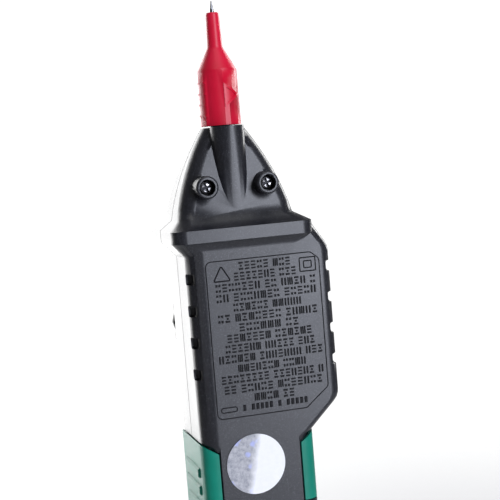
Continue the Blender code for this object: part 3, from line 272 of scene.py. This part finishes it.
# The raised marks, beads and posts get a rougher, darker copy of the shell plastic. The matte
# face is their own. The darker colour is painted shade for their narrow, steep strokes, which
# catch no sheen.
moulded_plastic("black_relief_painted_shade", (0.002, 0.002, 0.003), (0.005, 0.005, 0.007), 0.62, 0.0,
                Specular_IOR_Level=0.25)
moulded_plastic("black_dial", (0.008, 0.0085, 0.010), (0.018, 0.0185, 0.022), 0.45, 0.1,
                Specular_IOR_Level=0.15)
moulded_plastic("grey_key", (0.26, 0.27, 0.29), (0.34, 0.35, 0.37), 0.45, 0.1)
print("shell plastics made")

# %% [markdown]
# **Rubbers.** The grips are a soft over-mould: smoother than the shell, with a faint skin
# texture and a dusty bloom that lightens the colour in patches. The guard is a softer red
# moulding with a broad sheen. Both use the same recipe with different colours.

# %% Rubbers
BLOOM_SCALE = 130.0


def soft_mould(name, deep, bloom, gloss, cell=1600.0, depth=0.012, **constants):
    shader, place = start_finish(name, **constants)
    skin = noise(place, cell, 4.0, 0.6)
    cloud = noise(place, BLOOM_SCALE, 4.0)
    tone = blend(place, ramp(cloud, (0.35, 0.0), (0.72, 1.0)), deep, bloom)
    rough = gloss + 0.12 * (cloud - 0.5) + 0.1 * (skin - 0.5)
    feed(shader, Base_Color=tone, Roughness=rough,
         Normal=bump(place, skin, 0.4, depth * MM))
    return FINISHES[name]


soft_mould("green_grip", (0.0, 0.185, 0.125), (0.001, 0.235, 0.16), 0.46,
           Specular_IOR_Level=0.3)
soft_mould("red_guard", (0.60, 0.001, 0.026), (0.70, 0.004, 0.042), 0.38, 900.0)
soft_mould("black_rubber", (0.014, 0.014, 0.015), (0.026, 0.026, 0.028), 0.72)
print("rubbers made")

# %% [markdown]
# **Metals.** The needle is turned, so its scratches run round it: a noise that is squeezed
# along the axis makes rings. Sheet brass and nickel are rolled, with soft long scratches.
# The screws are blackened and the faces of their heads are worn bright in places, so their
# finish asks how far down from the top of the head a point lies.

# %% Metals
STAIN_SCALE = 260.0
SCREW_FACE = 0.22 * MM


def metal(name, colour, tarnish, gloss, stretch=(1.0, 1.0, 1.0), scale=900.0):
    shader, place = start_finish(name, Metallic=1.0)
    drawn = place.node("ShaderNodeMapping", None, {"Vector": place, "Scale": stretch})
    lines = noise(drawn, scale, 4.0, 0.7)
    stain = noise(place, STAIN_SCALE, 4.0)
    tone = blend(place, ramp(stain, (0.45, 0.0), (0.8, 0.6)), colour, tarnish)
    feed(shader, Base_Color=tone, Roughness=gloss + 0.2 * (lines - 0.4),
         Normal=bump(place, lines, 0.25, 0.006 * MM))
    return FINISHES[name]


def worn_screw(name, top):
    """Bright steel on the face of the head, dark down in its cross and on its shaft."""
    shader, place = start_finish(name, Metallic=1.0)
    depth = place.node("ShaderNodeSeparateXYZ", None, {0: place}, out=1)
    face = depth.above(top - SCREW_FACE)
    wear = ramp(noise(place, 900.0, 3.0, 0.6), (0.4, 0.35), (0.6, 1.0))
    wear = wear * face
    tone = blend(place, wear, (0.02, 0.02, 0.022), (0.30, 0.295, 0.30))
    grit = noise(place, 6000.0, 3.0)
    feed(shader, Base_Color=tone, Roughness=0.42 - 0.14 * wear,
         Normal=bump(place, grit, 0.4, 0.01 * MM))


metal("bright_steel", (0.24, 0.24, 0.25), (0.12, 0.12, 0.13), 0.2, (0.4, 0.4, 6.0))
metal("spring_steel", (0.6, 0.6, 0.6), (0.42, 0.41, 0.4), 0.28, (6.0, 1.0, 1.0))
metal("brass", (0.72, 0.53, 0.24), (0.42, 0.3, 0.14), 0.26, (1.0, 1.0, 5.0))
worn_screw("screw_steel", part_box("cover_screw")[1].y)
worn_screw("nose_screw_steel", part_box("nose_screw_left")[1].y)
worn_screw("case_screw_steel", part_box("case_screw_left")[1].y)
print("metals made")

# %% [markdown]
# ** Sticker.** The round sticker is a silvery foil: mottled and lavender in places, with a
# painted reflection that turns one half almost white. Its colour comes from three noises and
# a soft slanted edge. It isn't metallic, which keeps it pale in every direction.

# %% Sticker foil
FOIL_TURN = math.radians(-12)
REFLECTION_WIDTH = 14 * MM


def foil():
    shader, place = start_finish("silver_label", Specular_IOR_Level=0.3)
    mottle = noise(place, 950.0, 6.0, 0.75)
    cloud = noise(place, 190.0, 3.0)
    tint = ramp(noise(place, 330.0, 2.0), (0.60, 0.0), (0.68, 0.7))
    tone = blend(place, ramp(mottle, (0.36, 0.0), (0.6, 1.0)),
                 (0.24, 0.25, 0.29), (0.47, 0.47, 0.50))
    tone = blend(place, tint, tone, (0.42, 0.47, 0.85))
    centre = (label_low + label_high) / 2
    across = place.node("ShaderNodeMapping", {"vector_type": "TEXTURE"},
                        {"Vector": place, "Location": centre, "Rotation": (0, FOIL_TURN, 0)})
    side = across.node("ShaderNodeSeparateXYZ", None, {0: across})
    # One half fades almost to white behind a soft slanted edge: a painted reflection of a light
    # in the foil.
    painted_reflection = ramp(side * (1 / REFLECTION_WIDTH) + 0.5 + 0.12 * (cloud - 0.5), (0.47, 1.0), (0.6, 0.0))
    tone = blend(place, painted_reflection * 0.85, tone, (0.93, 0.93, 0.94))
    feed(shader, Base_Color=tone, Roughness=0.32 + 0.25 * (cloud - 0.4),
         Normal=bump(place, mottle, 0.5, 0.012 * MM))


foil()
print("foil made")

# %% [markdown]
# **Window, glass, board and film.** The window is mostly see-through, with faint smears in
# its gloss. The display behind it is a pale grey green. The circuit board, the film round
# the cells, the fuse and the paints need only a mottled tone, so one recipe makes them all.

# %% Window, glass, board and film
def clear_window():
    shader, place = start_finish("clear_window", IOR=1.49)
    smear = noise(place, 90.0, 3.0)
    feed(shader, Roughness=0.04 + 0.06 * smear, Alpha=0.12 + 0.05 * smear)
    shader.inputs["Base Color"].default_value = (0.75, 0.8, 0.82, 1)
    FINISHES["clear_window"].surface_render_method = "BLENDED"


def liquid_crystal():
    shader, place = start_finish("display_glass")
    cells = noise(place, 2600.0, 2.0)
    tone = blend(place, cells, (0.30, 0.34, 0.27), (0.36, 0.40, 0.32))
    feed(shader, Base_Color=tone, Roughness=0.22 + 0.08 * cells)


def plain_tone(name, first, second, gloss, scale=700.0, **constants):
    shader, place = start_finish(name, **constants)
    mottle = noise(place, scale, 4.0)
    tone = blend(place, ramp(mottle, (0.35, 0.0), (0.68, 1.0)), first, second)
    feed(shader, Base_Color=tone, Roughness=gloss + 0.12 * (mottle - 0.5),
         Normal=bump(place, mottle, 0.3, 0.008 * MM))


clear_window()
liquid_crystal()
plain_tone("board", (0.012, 0.12, 0.045), (0.03, 0.2, 0.075), 0.4)
plain_tone("cell_skin", (0.06, 0.11, 0.34), (0.11, 0.19, 0.46), 0.3, 300.0)
plain_tone("fuse_glass", (0.72, 0.72, 0.69), (0.84, 0.83, 0.8), 0.35)
plain_tone("red_lens", (0.5, 0.01, 0.01), (0.72, 0.04, 0.03), 0.12, 500.0)
plain_tone("white_print", (0.62, 0.63, 0.64), (0.78, 0.79, 0.8), 0.55, 2400.0)
plain_tone("dark_segment", (0.03, 0.035, 0.03), (0.06, 0.065, 0.06), 0.35)
print(len(FINISHES), "finishes")

# %% [markdown]
# **Skins.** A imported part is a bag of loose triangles, so it shades with facets. A copy
# whose touching corners are merged can be shaded smooth wherever two faces meet gently,
# and stays crisp where they meet sharply. The copy stands for the part, and rides on the
# same body. Flat regions are dissolved to single faces first, which removes slivers.

# %% Which body, slot and finish each part has
NODE_BODY = {node: body for body, members in frame["record"]["behaviour"]["bodies"].items()
             for node in members}
SLOTS = {part["node"]: part["material_slot"] for part in frame["record"]["subparts"]}
FLAT_SIDED = ("back_shell", "front_shell", "battery_cover", "grip_left", "grip_right")
SPECIAL = {"function_dial": "black_dial", "nose_screw_left": "nose_screw_steel",
           "nose_screw_right": "nose_screw_steel", "case_screw_left": "case_screw_steel",
           "case_screw_right": "case_screw_steel"}
print(len(NODE_BODY), "parts on bodies,", len(FLAT_SIDED), "flat-sided")

# %% [markdown]
# A weighted normal leans each corner's shading towards its biggest face. That keeps the
# large flat sides of the shells and grips flat next to their rounded edges. Turned parts
# such as the guard look better without it.

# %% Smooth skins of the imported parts
WELD = 0.002 * MM
FLAT_ANGLE = math.radians(0.4)
SMOOTH_ANGLE = 28.0
FLAT_WEIGHT = 100


def merged_copy(node):
    shape = bmesh.new()
    shape.from_mesh(frame["nodes"][node].data)
    bmesh.ops.remove_doubles(shape, verts=shape.verts, dist=WELD)
    bmesh.ops.dissolve_limit(shape, angle_limit=FLAT_ANGLE, verts=shape.verts,
                             edges=shape.edges)
    return shape


def baked_mesh(holder):
    """The mesh that an object's modifiers make. The object is removed."""
    ready = holder.evaluated_get(bpy.context.evaluated_depsgraph_get())
    mesh = bpy.data.meshes.new_from_object(ready)
    bpy.data.objects.remove(holder)
    return mesh


def add_piece(name, mesh, finish, body, smooth_angle=SMOOTH_ANGLE, flats=False):
    """Link a finished mesh as one piece of the object."""
    mesh.materials.clear()
    mesh.materials.append(FINISHES[finish])
    mesh.shade_smooth()
    mesh.set_sharp_from_angle(angle=math.radians(smooth_angle))
    if flats:
        holder = bpy.data.objects.new(name + "_draft", mesh)
        bpy.context.scene.collection.objects.link(holder)
        weigh = holder.modifiers.new("weigh", "WEIGHTED_NORMAL")
        weigh.keep_sharp = True
        weigh.weight = FLAT_WEIGHT
        mesh = baked_mesh(holder)
    piece = bpy.data.objects.new(name, mesh)
    bpy.context.scene.collection.objects.link(piece)
    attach(piece, body)
    return piece


def add_skin(node):
    shape = merged_copy(node)
    mesh = bpy.data.meshes.new(node + "_skin")
    shape.to_mesh(mesh)
    shape.free()
    slot = SLOTS[node]
    piece = add_piece(node + "_skin", mesh, SPECIAL.get(node, slot), NODE_BODY[node],
                      flats=node in FLAT_SIDED)
    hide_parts(node)
    return piece


for node_name in sorted(frame["nodes"]):
    add_skin(node_name)
print("skins:", len(frame["nodes"]))

# %% [markdown]
# **Repeated relief.** The back carries rows of small raised marks, the dial has ticks and
# the display has segments. They are all one idea: a tapered block stood on a surface many
# times over. Geometry Nodes fit this well. The script lays out points with a turn and a
# size each, and one tree stamps a block on every point. First come small helpers that add
# a node, start a tree with named inputs, and end it in real geometry with a material.

# %% Helpers for a tree
def socket_id(tree, name):
    return next(item.identifier for item in tree.interface.items_tree if item.name == name
                and item.in_out == "INPUT")


def tree_node(tree, kind, settings=None, sockets=None):
    made = tree.nodes.new(kind)
    for key, value in (settings or {}).items():
        setattr(made, key, value)
    for key, value in (sockets or {}).items():
        if isinstance(value, bpy.types.NodeSocket):
            tree.links.new(value, made.inputs[key])
        else:
            made.inputs[key].default_value = value
    return made


def new_tree(name, inputs):
    tree = bpy.data.node_groups.new(name, "GeometryNodeTree")
    tree.is_modifier = True
    face = tree.interface
    face.new_socket("Geometry", in_out="INPUT", socket_type="NodeSocketGeometry")
    for label, kind in inputs:
        face.new_socket(label, in_out="INPUT", socket_type="NodeSocket" + kind)
    face.new_socket("Geometry", in_out="OUTPUT", socket_type="NodeSocketGeometry")
    return tree, tree.nodes.new("NodeGroupInput").outputs


def end_tree(tree, last, finish):
    real = tree_node(tree, "GeometryNodeRealizeInstances", None, {0: last})
    dressed = tree_node(tree, "GeometryNodeSetMaterial", None,
                        {"Geometry": real.outputs[0], "Material": finish})
    tree_node(tree, "NodeGroupOutput", None, {0: dressed.outputs[0]})
    return tree


def named(tree, name):
    return tree_node(tree, "GeometryNodeInputNamedAttribute", {"data_type": "FLOAT_VECTOR"},
                     {"Name": name}).outputs["Attribute"]


print("tree helpers ready")

# %% [markdown]
# The block is a cone with few sides, cut off near its foot: four sides make a tapered
# brick. Half a side's turn squares it up before it is stamped on the points.

# %% A tree that stamps tapered blocks
def stamp_tree():
    tree, inputs = new_tree("stamp_blocks", [("Sides", "Int"), ("Foot", "Float"),
                                             ("Crown", "Float"), ("Turn", "Float"),
                                             ("Finish", "Material")])
    block = tree_node(tree, "GeometryNodeMeshCone", None,
                      {"Vertices": inputs["Sides"], "Radius Bottom": inputs["Foot"],
                       "Radius Top": inputs["Crown"], "Depth": 1.0})
    spin = tree_node(tree, "ShaderNodeCombineXYZ", None, {"Z": inputs["Turn"]})
    squared = tree_node(tree, "GeometryNodeTransform", None,
                        {"Geometry": block.outputs["Mesh"], "Rotation": spin.outputs[0]})
    stamped = tree_node(tree, "GeometryNodeInstanceOnPoints", None,
                        {"Points": inputs["Geometry"], "Instance": squared.outputs[0],
                         "Rotation": named(tree, "turn"), "Scale": named(tree, "size")})
    return end_tree(tree, stamped.outputs[0], inputs["Finish"])


STAMPS = stamp_tree()
print("stamp tree:", len(STAMPS.nodes), "nodes")

# %% [markdown]
# A tree runs as a modifier. Its inputs are set by their identifiers, the result is copied
# out as a plain mesh, and the object that carried the modifier is thrown away.

# %% Run a tree, and make a piece of blocks
def run_tree(name, mesh, tree, values):
    """The plain mesh that a tree makes from a mesh."""
    holder = bpy.data.objects.new(name + "_draft", mesh)
    bpy.context.scene.collection.objects.link(holder)
    modifier = holder.modifiers.new("tree", "NODES")
    modifier.node_group = tree
    for label, value in values.items():
        modifier[socket_id(tree, label)] = value
    return baked_mesh(holder)


def stamp(name, spots, finish, body, sides=4, crown=0.8):
    """One piece of blocks, from a list of (place, turn, size)."""
    mesh = bpy.data.meshes.new(name + "_points")
    mesh.from_pydata([spot[0] for spot in spots], [], [])
    for key, column in (("turn", 1), ("size", 2)):
        store = mesh.attributes.new(key, "FLOAT_VECTOR", "POINT")
        store.data.foreach_set("vector", [v for spot in spots for v in spot[column]])
    foot = 0.5 / math.cos(math.pi / sides)
    made = run_tree(name, mesh, STAMPS, {"Sides": sides, "Foot": foot, "Crown": foot * crown,
                                         "Turn": math.pi / sides,
                                         "Finish": FINISHES[finish]})
    print(name, len(spots), "blocks,", len(made.polygons), "faces")
    return add_piece(name, made, finish, body)


print("blocks can be stamped")

# %% [markdown]
# **Rows of marks.** A page of moulded text reads as grey bands broken into words. These
# rows keep that rhythm with plain marks that say nothing: stacked bars, pairs of posts and
# dots. Each mark is a few strokes, given by place and size in shares of the mark's cell.
# Words are drawn with a fixed seed, and each row is scaled to its own width.

# %% Sizes and strokes of the marks
ROW_WIDTHS = (12.9, 15.4, 24.6, 24.6, 16.8, 24.6, 14.9, 21.0, 22.1, 25.7, 16.9, 25.3, 24.4,
              10.1)
ROW_CENTRE = -4.5
TOP_ROW = 145.75
ROW_PITCH = 2.38
MARK_HEIGHT = 1.85
MARK_RELIEF = 0.3
MARK_PITCH = 1.42
MARK_SINK = -0.03
MARK_SEED = 7
STROKE_SPREAD = 0.82
STROKE_WIDTH = 0.8
WORD_GAP = 0.55
WORD_LENGTHS = (2, 4, 5, 6, 7, 8)
BACK_TURN = -math.pi / 2
GLYPHS = (
    ((0, -0.4, 0.9, 0.21), (0, 0.0, 0.9, 0.21), (0, 0.4, 0.9, 0.21)),
    ((-0.3, 0, 0.28, 1.0), (0.3, 0, 0.28, 1.0)),
    ((-0.36, 0, 0.2, 1.0), (0, 0, 0.2, 1.0), (0.36, 0, 0.2, 1.0)),
    ((0, -0.38, 0.9, 0.26), (0, 0.38, 0.9, 0.26), (0, 0, 0.34, 0.24)),
    ((-0.28, 0.34, 0.34, 0.32), (0.28, 0.34, 0.34, 0.32), (-0.28, -0.34, 0.34, 0.32),
     (0.28, -0.34, 0.34, 0.32)),
)
print(len(ROW_WIDTHS), "rows,", len(GLYPHS), "kinds of mark")

# %% [markdown]
# A row is filled from its left end as it is read, which is its high side in x because the
# back faces away from the front. The gap after each word is about half a mark.

# %% Marks on the back
def split_row(count, dice):
    """Split a row of marks into words."""
    words = []
    while count > 0:
        word = min(count, dice.choice(WORD_LENGTHS))
        words.append(word)
        count -= word + 1
    return words


def mark_spots(dice):
    spots = []
    for row, width in enumerate(ROW_WIDTHS):
        z = TOP_ROW - row * ROW_PITCH
        words = split_row(round(width / MARK_PITCH), dice)
        cells = sum(words) + WORD_GAP * (len(words) - 1)
        pitch = width / cells
        x = ROW_CENTRE + width / 2
        for word in words:
            for _ in range(word):
                glyph = dice.choice(GLYPHS)
                for dx, dz, wide, tall in glyph:
                    spots.append((at(x - pitch / 2 + dx * pitch * STROKE_SPREAD,
                                     z + dz * MARK_HEIGHT, MARK_SINK),
                                  (BACK_TURN, 0, 0),
                                  (wide * pitch * STROKE_WIDTH * MM,
                                   tall * MARK_HEIGHT * MM, MARK_RELIEF * MM)))
                x -= pitch
            x -= WORD_GAP * pitch
    return spots


stamp("raised_marks", mark_spots(random.Random(MARK_SEED)), "black_relief_painted_shade",
      "root")

# %% [markdown]
# **Outlines.** The border round the marks, an empty triangle and two nested squares are
# thin beads that follow a path. The tree turns a path into a curve, rounds its corners and
# sweeps a small ring along it.

# %% A tree that sweeps a bead along a path
BEAD_SIDES = 8
CORNER_STEPS = 6
BEAD_SMOOTH = 80


def bead_tree():
    tree, inputs = new_tree("sweep_bead", [("Corner", "Float"), ("Bead", "Float"),
                                           ("Finish", "Material")])
    path = tree_node(tree, "GeometryNodeMeshToCurve", None, {0: inputs["Geometry"]})
    rounded = tree_node(tree, "GeometryNodeFilletCurve", None,
                        {"Curve": path.outputs[0], "Radius": inputs["Corner"],
                         "Limit Radius": True})
    if "mode" in rounded.bl_rna.properties:
        rounded.mode = "POLY"
    rounded.inputs["Count"].default_value = CORNER_STEPS
    ring = tree_node(tree, "GeometryNodeCurvePrimitiveCircle", None,
                     {"Resolution": BEAD_SIDES, "Radius": inputs["Bead"]})
    swept = tree_node(tree, "GeometryNodeCurveToMesh", None,
                      {"Curve": rounded.outputs[0], "Profile Curve": ring.outputs[0],
                       "Fill Caps": True})
    return end_tree(tree, swept.outputs[0], inputs["Finish"])


BEADS = bead_tree()
print("bead tree:", len(BEADS.nodes), "nodes")

# %% [markdown]
# A path is a closed loop of corners on the flat back. The swept tube can come out with its
# faces pointing in, so they are turned outwards before it becomes a piece.

# %% Make a piece of beads
def bead_piece(name, loops, corner, bead):
    """Closed loops of (x, z) on the flat back, as beads."""
    points = []
    edges = []
    for loop in loops:
        first = len(points)
        count = len(loop)
        points += [at(x, z) for x, z in loop]
        edges += [(first + i, first + (i + 1) % count) for i in range(count)]
    mesh = bpy.data.meshes.new(name + "_paths")
    mesh.from_pydata(points, edges, [])
    made = run_tree(name, mesh, BEADS, {"Corner": corner * MM, "Bead": bead * MM,
                                        "Finish": FINISHES["black_relief_painted_shade"]})
    shape = bmesh.new()
    shape.from_mesh(made)
    bmesh.ops.recalc_face_normals(shape, faces=shape.faces)
    shape.to_mesh(made)
    shape.free()
    print(name, len(loops), "loops,", len(made.polygons), "faces")
    return add_piece(name, made, "black_relief_painted_shade", "root", BEAD_SMOOTH)


print("beads can be swept")

# %% [markdown]
# The outlines themselves are a short table: the loops, how round their corners are and how
# thick the bead is, all in millimetres. The border follows the slanted lower side of the
# head. Just above its lower edge, a last row of posts stands beside an empty capsule.

# %% Outlines on the back
def rectangle(x, z, half_x, half_z):
    return [(x - half_x, z - half_z), (x + half_x, z - half_z), (x + half_x, z + half_z),
            (x - half_x, z + half_z)]


BORDER = [(9.6, 147.3), (-15.9, 147.3), (-17.9, 145.6), (-17.9, 115.1), (-12.2, 110.6),
          (9.6, 110.6)]
TRIANGLE = [(8.0, 142.6), (3.9, 142.6), (5.95, 146.1)]
SQUARES = [rectangle(-15.0, 144.5, 1.95, 1.6), rectangle(-15.0, 144.5, 0.95, 0.8)]
CAPSULE_Z = 112.6
CAPSULE = rectangle(6.7, CAPSULE_Z, 1.9, 0.55)
OUTLINES = (
    ("panel_border", [BORDER], 1.3, 0.13),
    ("triangle_mark", [TRIANGLE], 0.25, 0.17),
    ("square_marks", SQUARES, 0.2, 0.15),
    ("capsule_mark", [CAPSULE], 0.5, 0.14),
)
for outline in OUTLINES:
    bead_piece(*outline)

POST_PLACES = (3.0, 0.9, -0.2, -1.3, -2.4, -3.5, -5.6, -7.7, -8.8, -9.9, -11.0, -12.1)
POST_SIZE = (0.75 * MM, 1.5 * MM, 0.3 * MM)
stamp("capsule_row", [(at(x, CAPSULE_Z, MARK_SINK), (BACK_TURN, 0, 0), POST_SIZE)
                      for x in POST_PLACES], "black_relief_painted_shade", "root")

# %% [markdown]
# **Dial.** A painted pointer lies on the dial's handle, and a ring of ticks runs round its
# rim, with every fifth one longer. The ticks ride on the dial, so they turn with it. The
# height of the dial's flat face is measured away from the handle in the middle.

# %% Dial ticks and pointer
FRONT_TURN = math.pi / 2
TICKS = 20
LONG_EVERY = 5
TICK_RADIUS = 15.2
LONG_SHIFT = 0.5
TICK_WIDTH = 0.35
TICK_LENGTHS = (1.0, 2.0)
PRINT_THICK = 0.06
PRINT_LIFT = 0.02 * MM
PRINT_CROWN = 0.95
HANDLE_REACH = 10 * MM
dial_low, dial_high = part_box("function_dial")
DIAL_CENTRE = (dial_low + dial_high) / 2
dial_face = min(v.co.y for v in frame["nodes"]["function_dial"].data.vertices
                if (v.co.xz - DIAL_CENTRE.xz).length > HANDLE_REACH)


def dial_spots():
    spots = []
    for index in range(TICKS):
        angle = 2 * math.pi * index / TICKS
        long = index % LONG_EVERY == 0
        reach = TICK_RADIUS - (LONG_SHIFT if long else 0)
        place = DIAL_CENTRE + Vector((math.sin(angle), 0, math.cos(angle))) * reach * MM
        place.y = dial_face + PRINT_LIFT
        spots.append((place, (FRONT_TURN, angle, 0),
                      (TICK_WIDTH * MM, TICK_LENGTHS[long] * MM, PRINT_THICK * MM)))
    return spots


stamp("dial_ticks", dial_spots(), "white_print", "dial", crown=PRINT_CROWN)
pointer = Vector((DIAL_CENTRE.x, dial_low.y + PRINT_LIFT, DIAL_CENTRE.z + 9.5 * MM))
stamp("dial_pointer", [(pointer, (FRONT_TURN, 0, 0), (0.9 * MM, 6.5 * MM, PRINT_THICK * MM))],
      "white_print", "dial", crown=PRINT_CROWN)

# %% [markdown]
# **Display.** Four zeros show that the screen is on. A zero lights six of the seven
# segments of a digit, and each segment is one thin dark block on the glass. A segment is
# listed by its side, its level and whether it stands upright.

# %% Digits of the display
glass_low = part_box("display_glass")[0]
window_low, window_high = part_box("display_window")
DIGITS = 4
DIGIT = (2.5, 5.4)
DIGIT_PITCH = 3.75
DIGIT_CORNER = 0.7
STROKE = 0.62
SEGMENT_THICK = 0.04
SEGMENT_LIFT = 0.01 * MM
SEGMENTS = ((0, 1, 0), (0, -1, 0), (1, 0.5, 1), (1, -0.5, 1), (-1, 0.5, 1), (-1, -0.5, 1))


def digit_spots():
    spots = []
    middle = (window_low + window_high) / 2
    for index in range(DIGITS):
        x = middle.x + (index - (DIGITS - 1) / 2) * DIGIT_PITCH * MM
        for side, level, upright in SEGMENTS:
            wide, tall = ((STROKE, DIGIT[1] / 2 - DIGIT_CORNER) if upright
                          else (DIGIT[0] - DIGIT_CORNER, STROKE))
            place = Vector((x + side * DIGIT[0] / 2 * MM, glass_low.y + SEGMENT_LIFT,
                            middle.z + level * DIGIT[1] / 2 * MM))
            spots.append((place, (FRONT_TURN, 0, 0),
                          (wide * MM, tall * MM, SEGMENT_THICK * MM)))
    return spots


stamp("display_digits", digit_spots(), "dark_segment", "root",
      crown=PRINT_CROWN)

# %% [markdown]
# **Floor.** A plain pale floor lies under the tool. It fades out with distance from the
# tool, so it never draws a horizon.

# %% Floor
FLOOR_SIZE = 1.6
FLOOR_TONE = (0.72, 0.72, 0.73, 1)
FADE_NEAR = 0.16
FADE_FAR = 0.5


def build_floor():
    shape = bmesh.new()
    bmesh.ops.create_grid(shape, x_segments=8, y_segments=8, size=FLOOR_SIZE / 2)
    mesh = bpy.data.meshes.new("pale_floor")
    shape.to_mesh(mesh)
    shape.free()
    shader, place = start_finish("pale_floor", Roughness=0.6)
    far = place.node("ShaderNodeVectorMath", {"operation": "LENGTH"}, {0: place}, out=1)
    fade = place.node("ShaderNodeMapRange", {"interpolation_type": "SMOOTHSTEP"},
                      {"Value": far, "From Min": FADE_NEAR, "From Max": FADE_FAR,
                       "To Min": 1.0, "To Max": 0.0})
    shader.inputs["Base Color"].default_value = FLOOR_TONE
    feed(shader, Alpha=fade)
    mesh.materials.append(FINISHES["pale_floor"])
    floor = bpy.data.objects.new("pale_floor", mesh)
    bpy.context.scene.collection.objects.link(floor)


build_floor()
print("floor:", FLOOR_SIZE, "m across")

# %% [markdown]
# **World.** The background is white where the camera sees it, and dim where it lights the
# tool, so the black plastic keeps its depth. The Standard view keeps that white plain.

# %% World
WORLD_LIGHT = 0.14
WORLD_SEEN = 1.1


def build_world():
    world = bpy.data.worlds.new("studio")
    world.use_nodes = True
    tree = world.node_tree
    background = tree.nodes["Background"]
    seen = tree.nodes.new("ShaderNodeLightPath").outputs["Is Camera Ray"]
    level = tree.nodes.new("ShaderNodeMapRange")
    level.inputs["To Min"].default_value = WORLD_LIGHT
    level.inputs["To Max"].default_value = WORLD_SEEN
    tree.links.new(seen, level.inputs["Value"])
    tree.links.new(level.outputs["Result"], background.inputs["Strength"])
    background.inputs["Color"].default_value = (1, 1, 1, 1)
    bpy.context.scene.world = world
    bpy.context.scene.view_settings.view_transform = "Standard"


build_world()
print("world lights at", WORLD_LIGHT, "and shows at", WORLD_SEEN)

# %% [markdown]
# **Lights.** The flat back gets its sheen from one tall, slightly cool box beside the
# camera. A big panel on the far side of the tool rims its sides. Two weaker boxes fill the
# front and the top, which other views show. Each row is a name, a place and a width and
# height in metres, a power in watts and a colour.

# %% Lights
COOL = (0.84, 0.88, 1.0)
WHITE = (1, 1, 1)
LIGHT_AIM = (AXIS_X, 0, 0.14)
SOFT_BOXES = (
    ("sheen_box", (-0.34, 0.84, 0.34), 0.3, 0.95, 9.6, COOL),
    ("back_panel", (0.25, -1.0, 0.2), 1.3, 1.2, 22.0, WHITE),
    ("front_left_box", (-0.8, -0.6, 0.4), 0.3, 0.6, 4.0, WHITE),
    ("top_box", (0.0, 0.2, 1.0), 0.5, 0.5, 1.4, WHITE),
)


def soft_box(name, place, width, height, watts, colour):
    light = bpy.data.lights.new(name, "AREA")
    light.shape = "RECTANGLE"
    light.size = width
    light.size_y = height
    light.energy = watts
    light.color = colour
    box = bpy.data.objects.new(name, light)
    box.location = place
    box.rotation_mode = "QUATERNION"
    box.rotation_quaternion = (Vector(place) - Vector(LIGHT_AIM)).to_track_quat("Z", "Y")
    box.visible_camera = False
    bpy.context.scene.collection.objects.link(box)


for row in SOFT_BOXES:
    soft_box(*row)
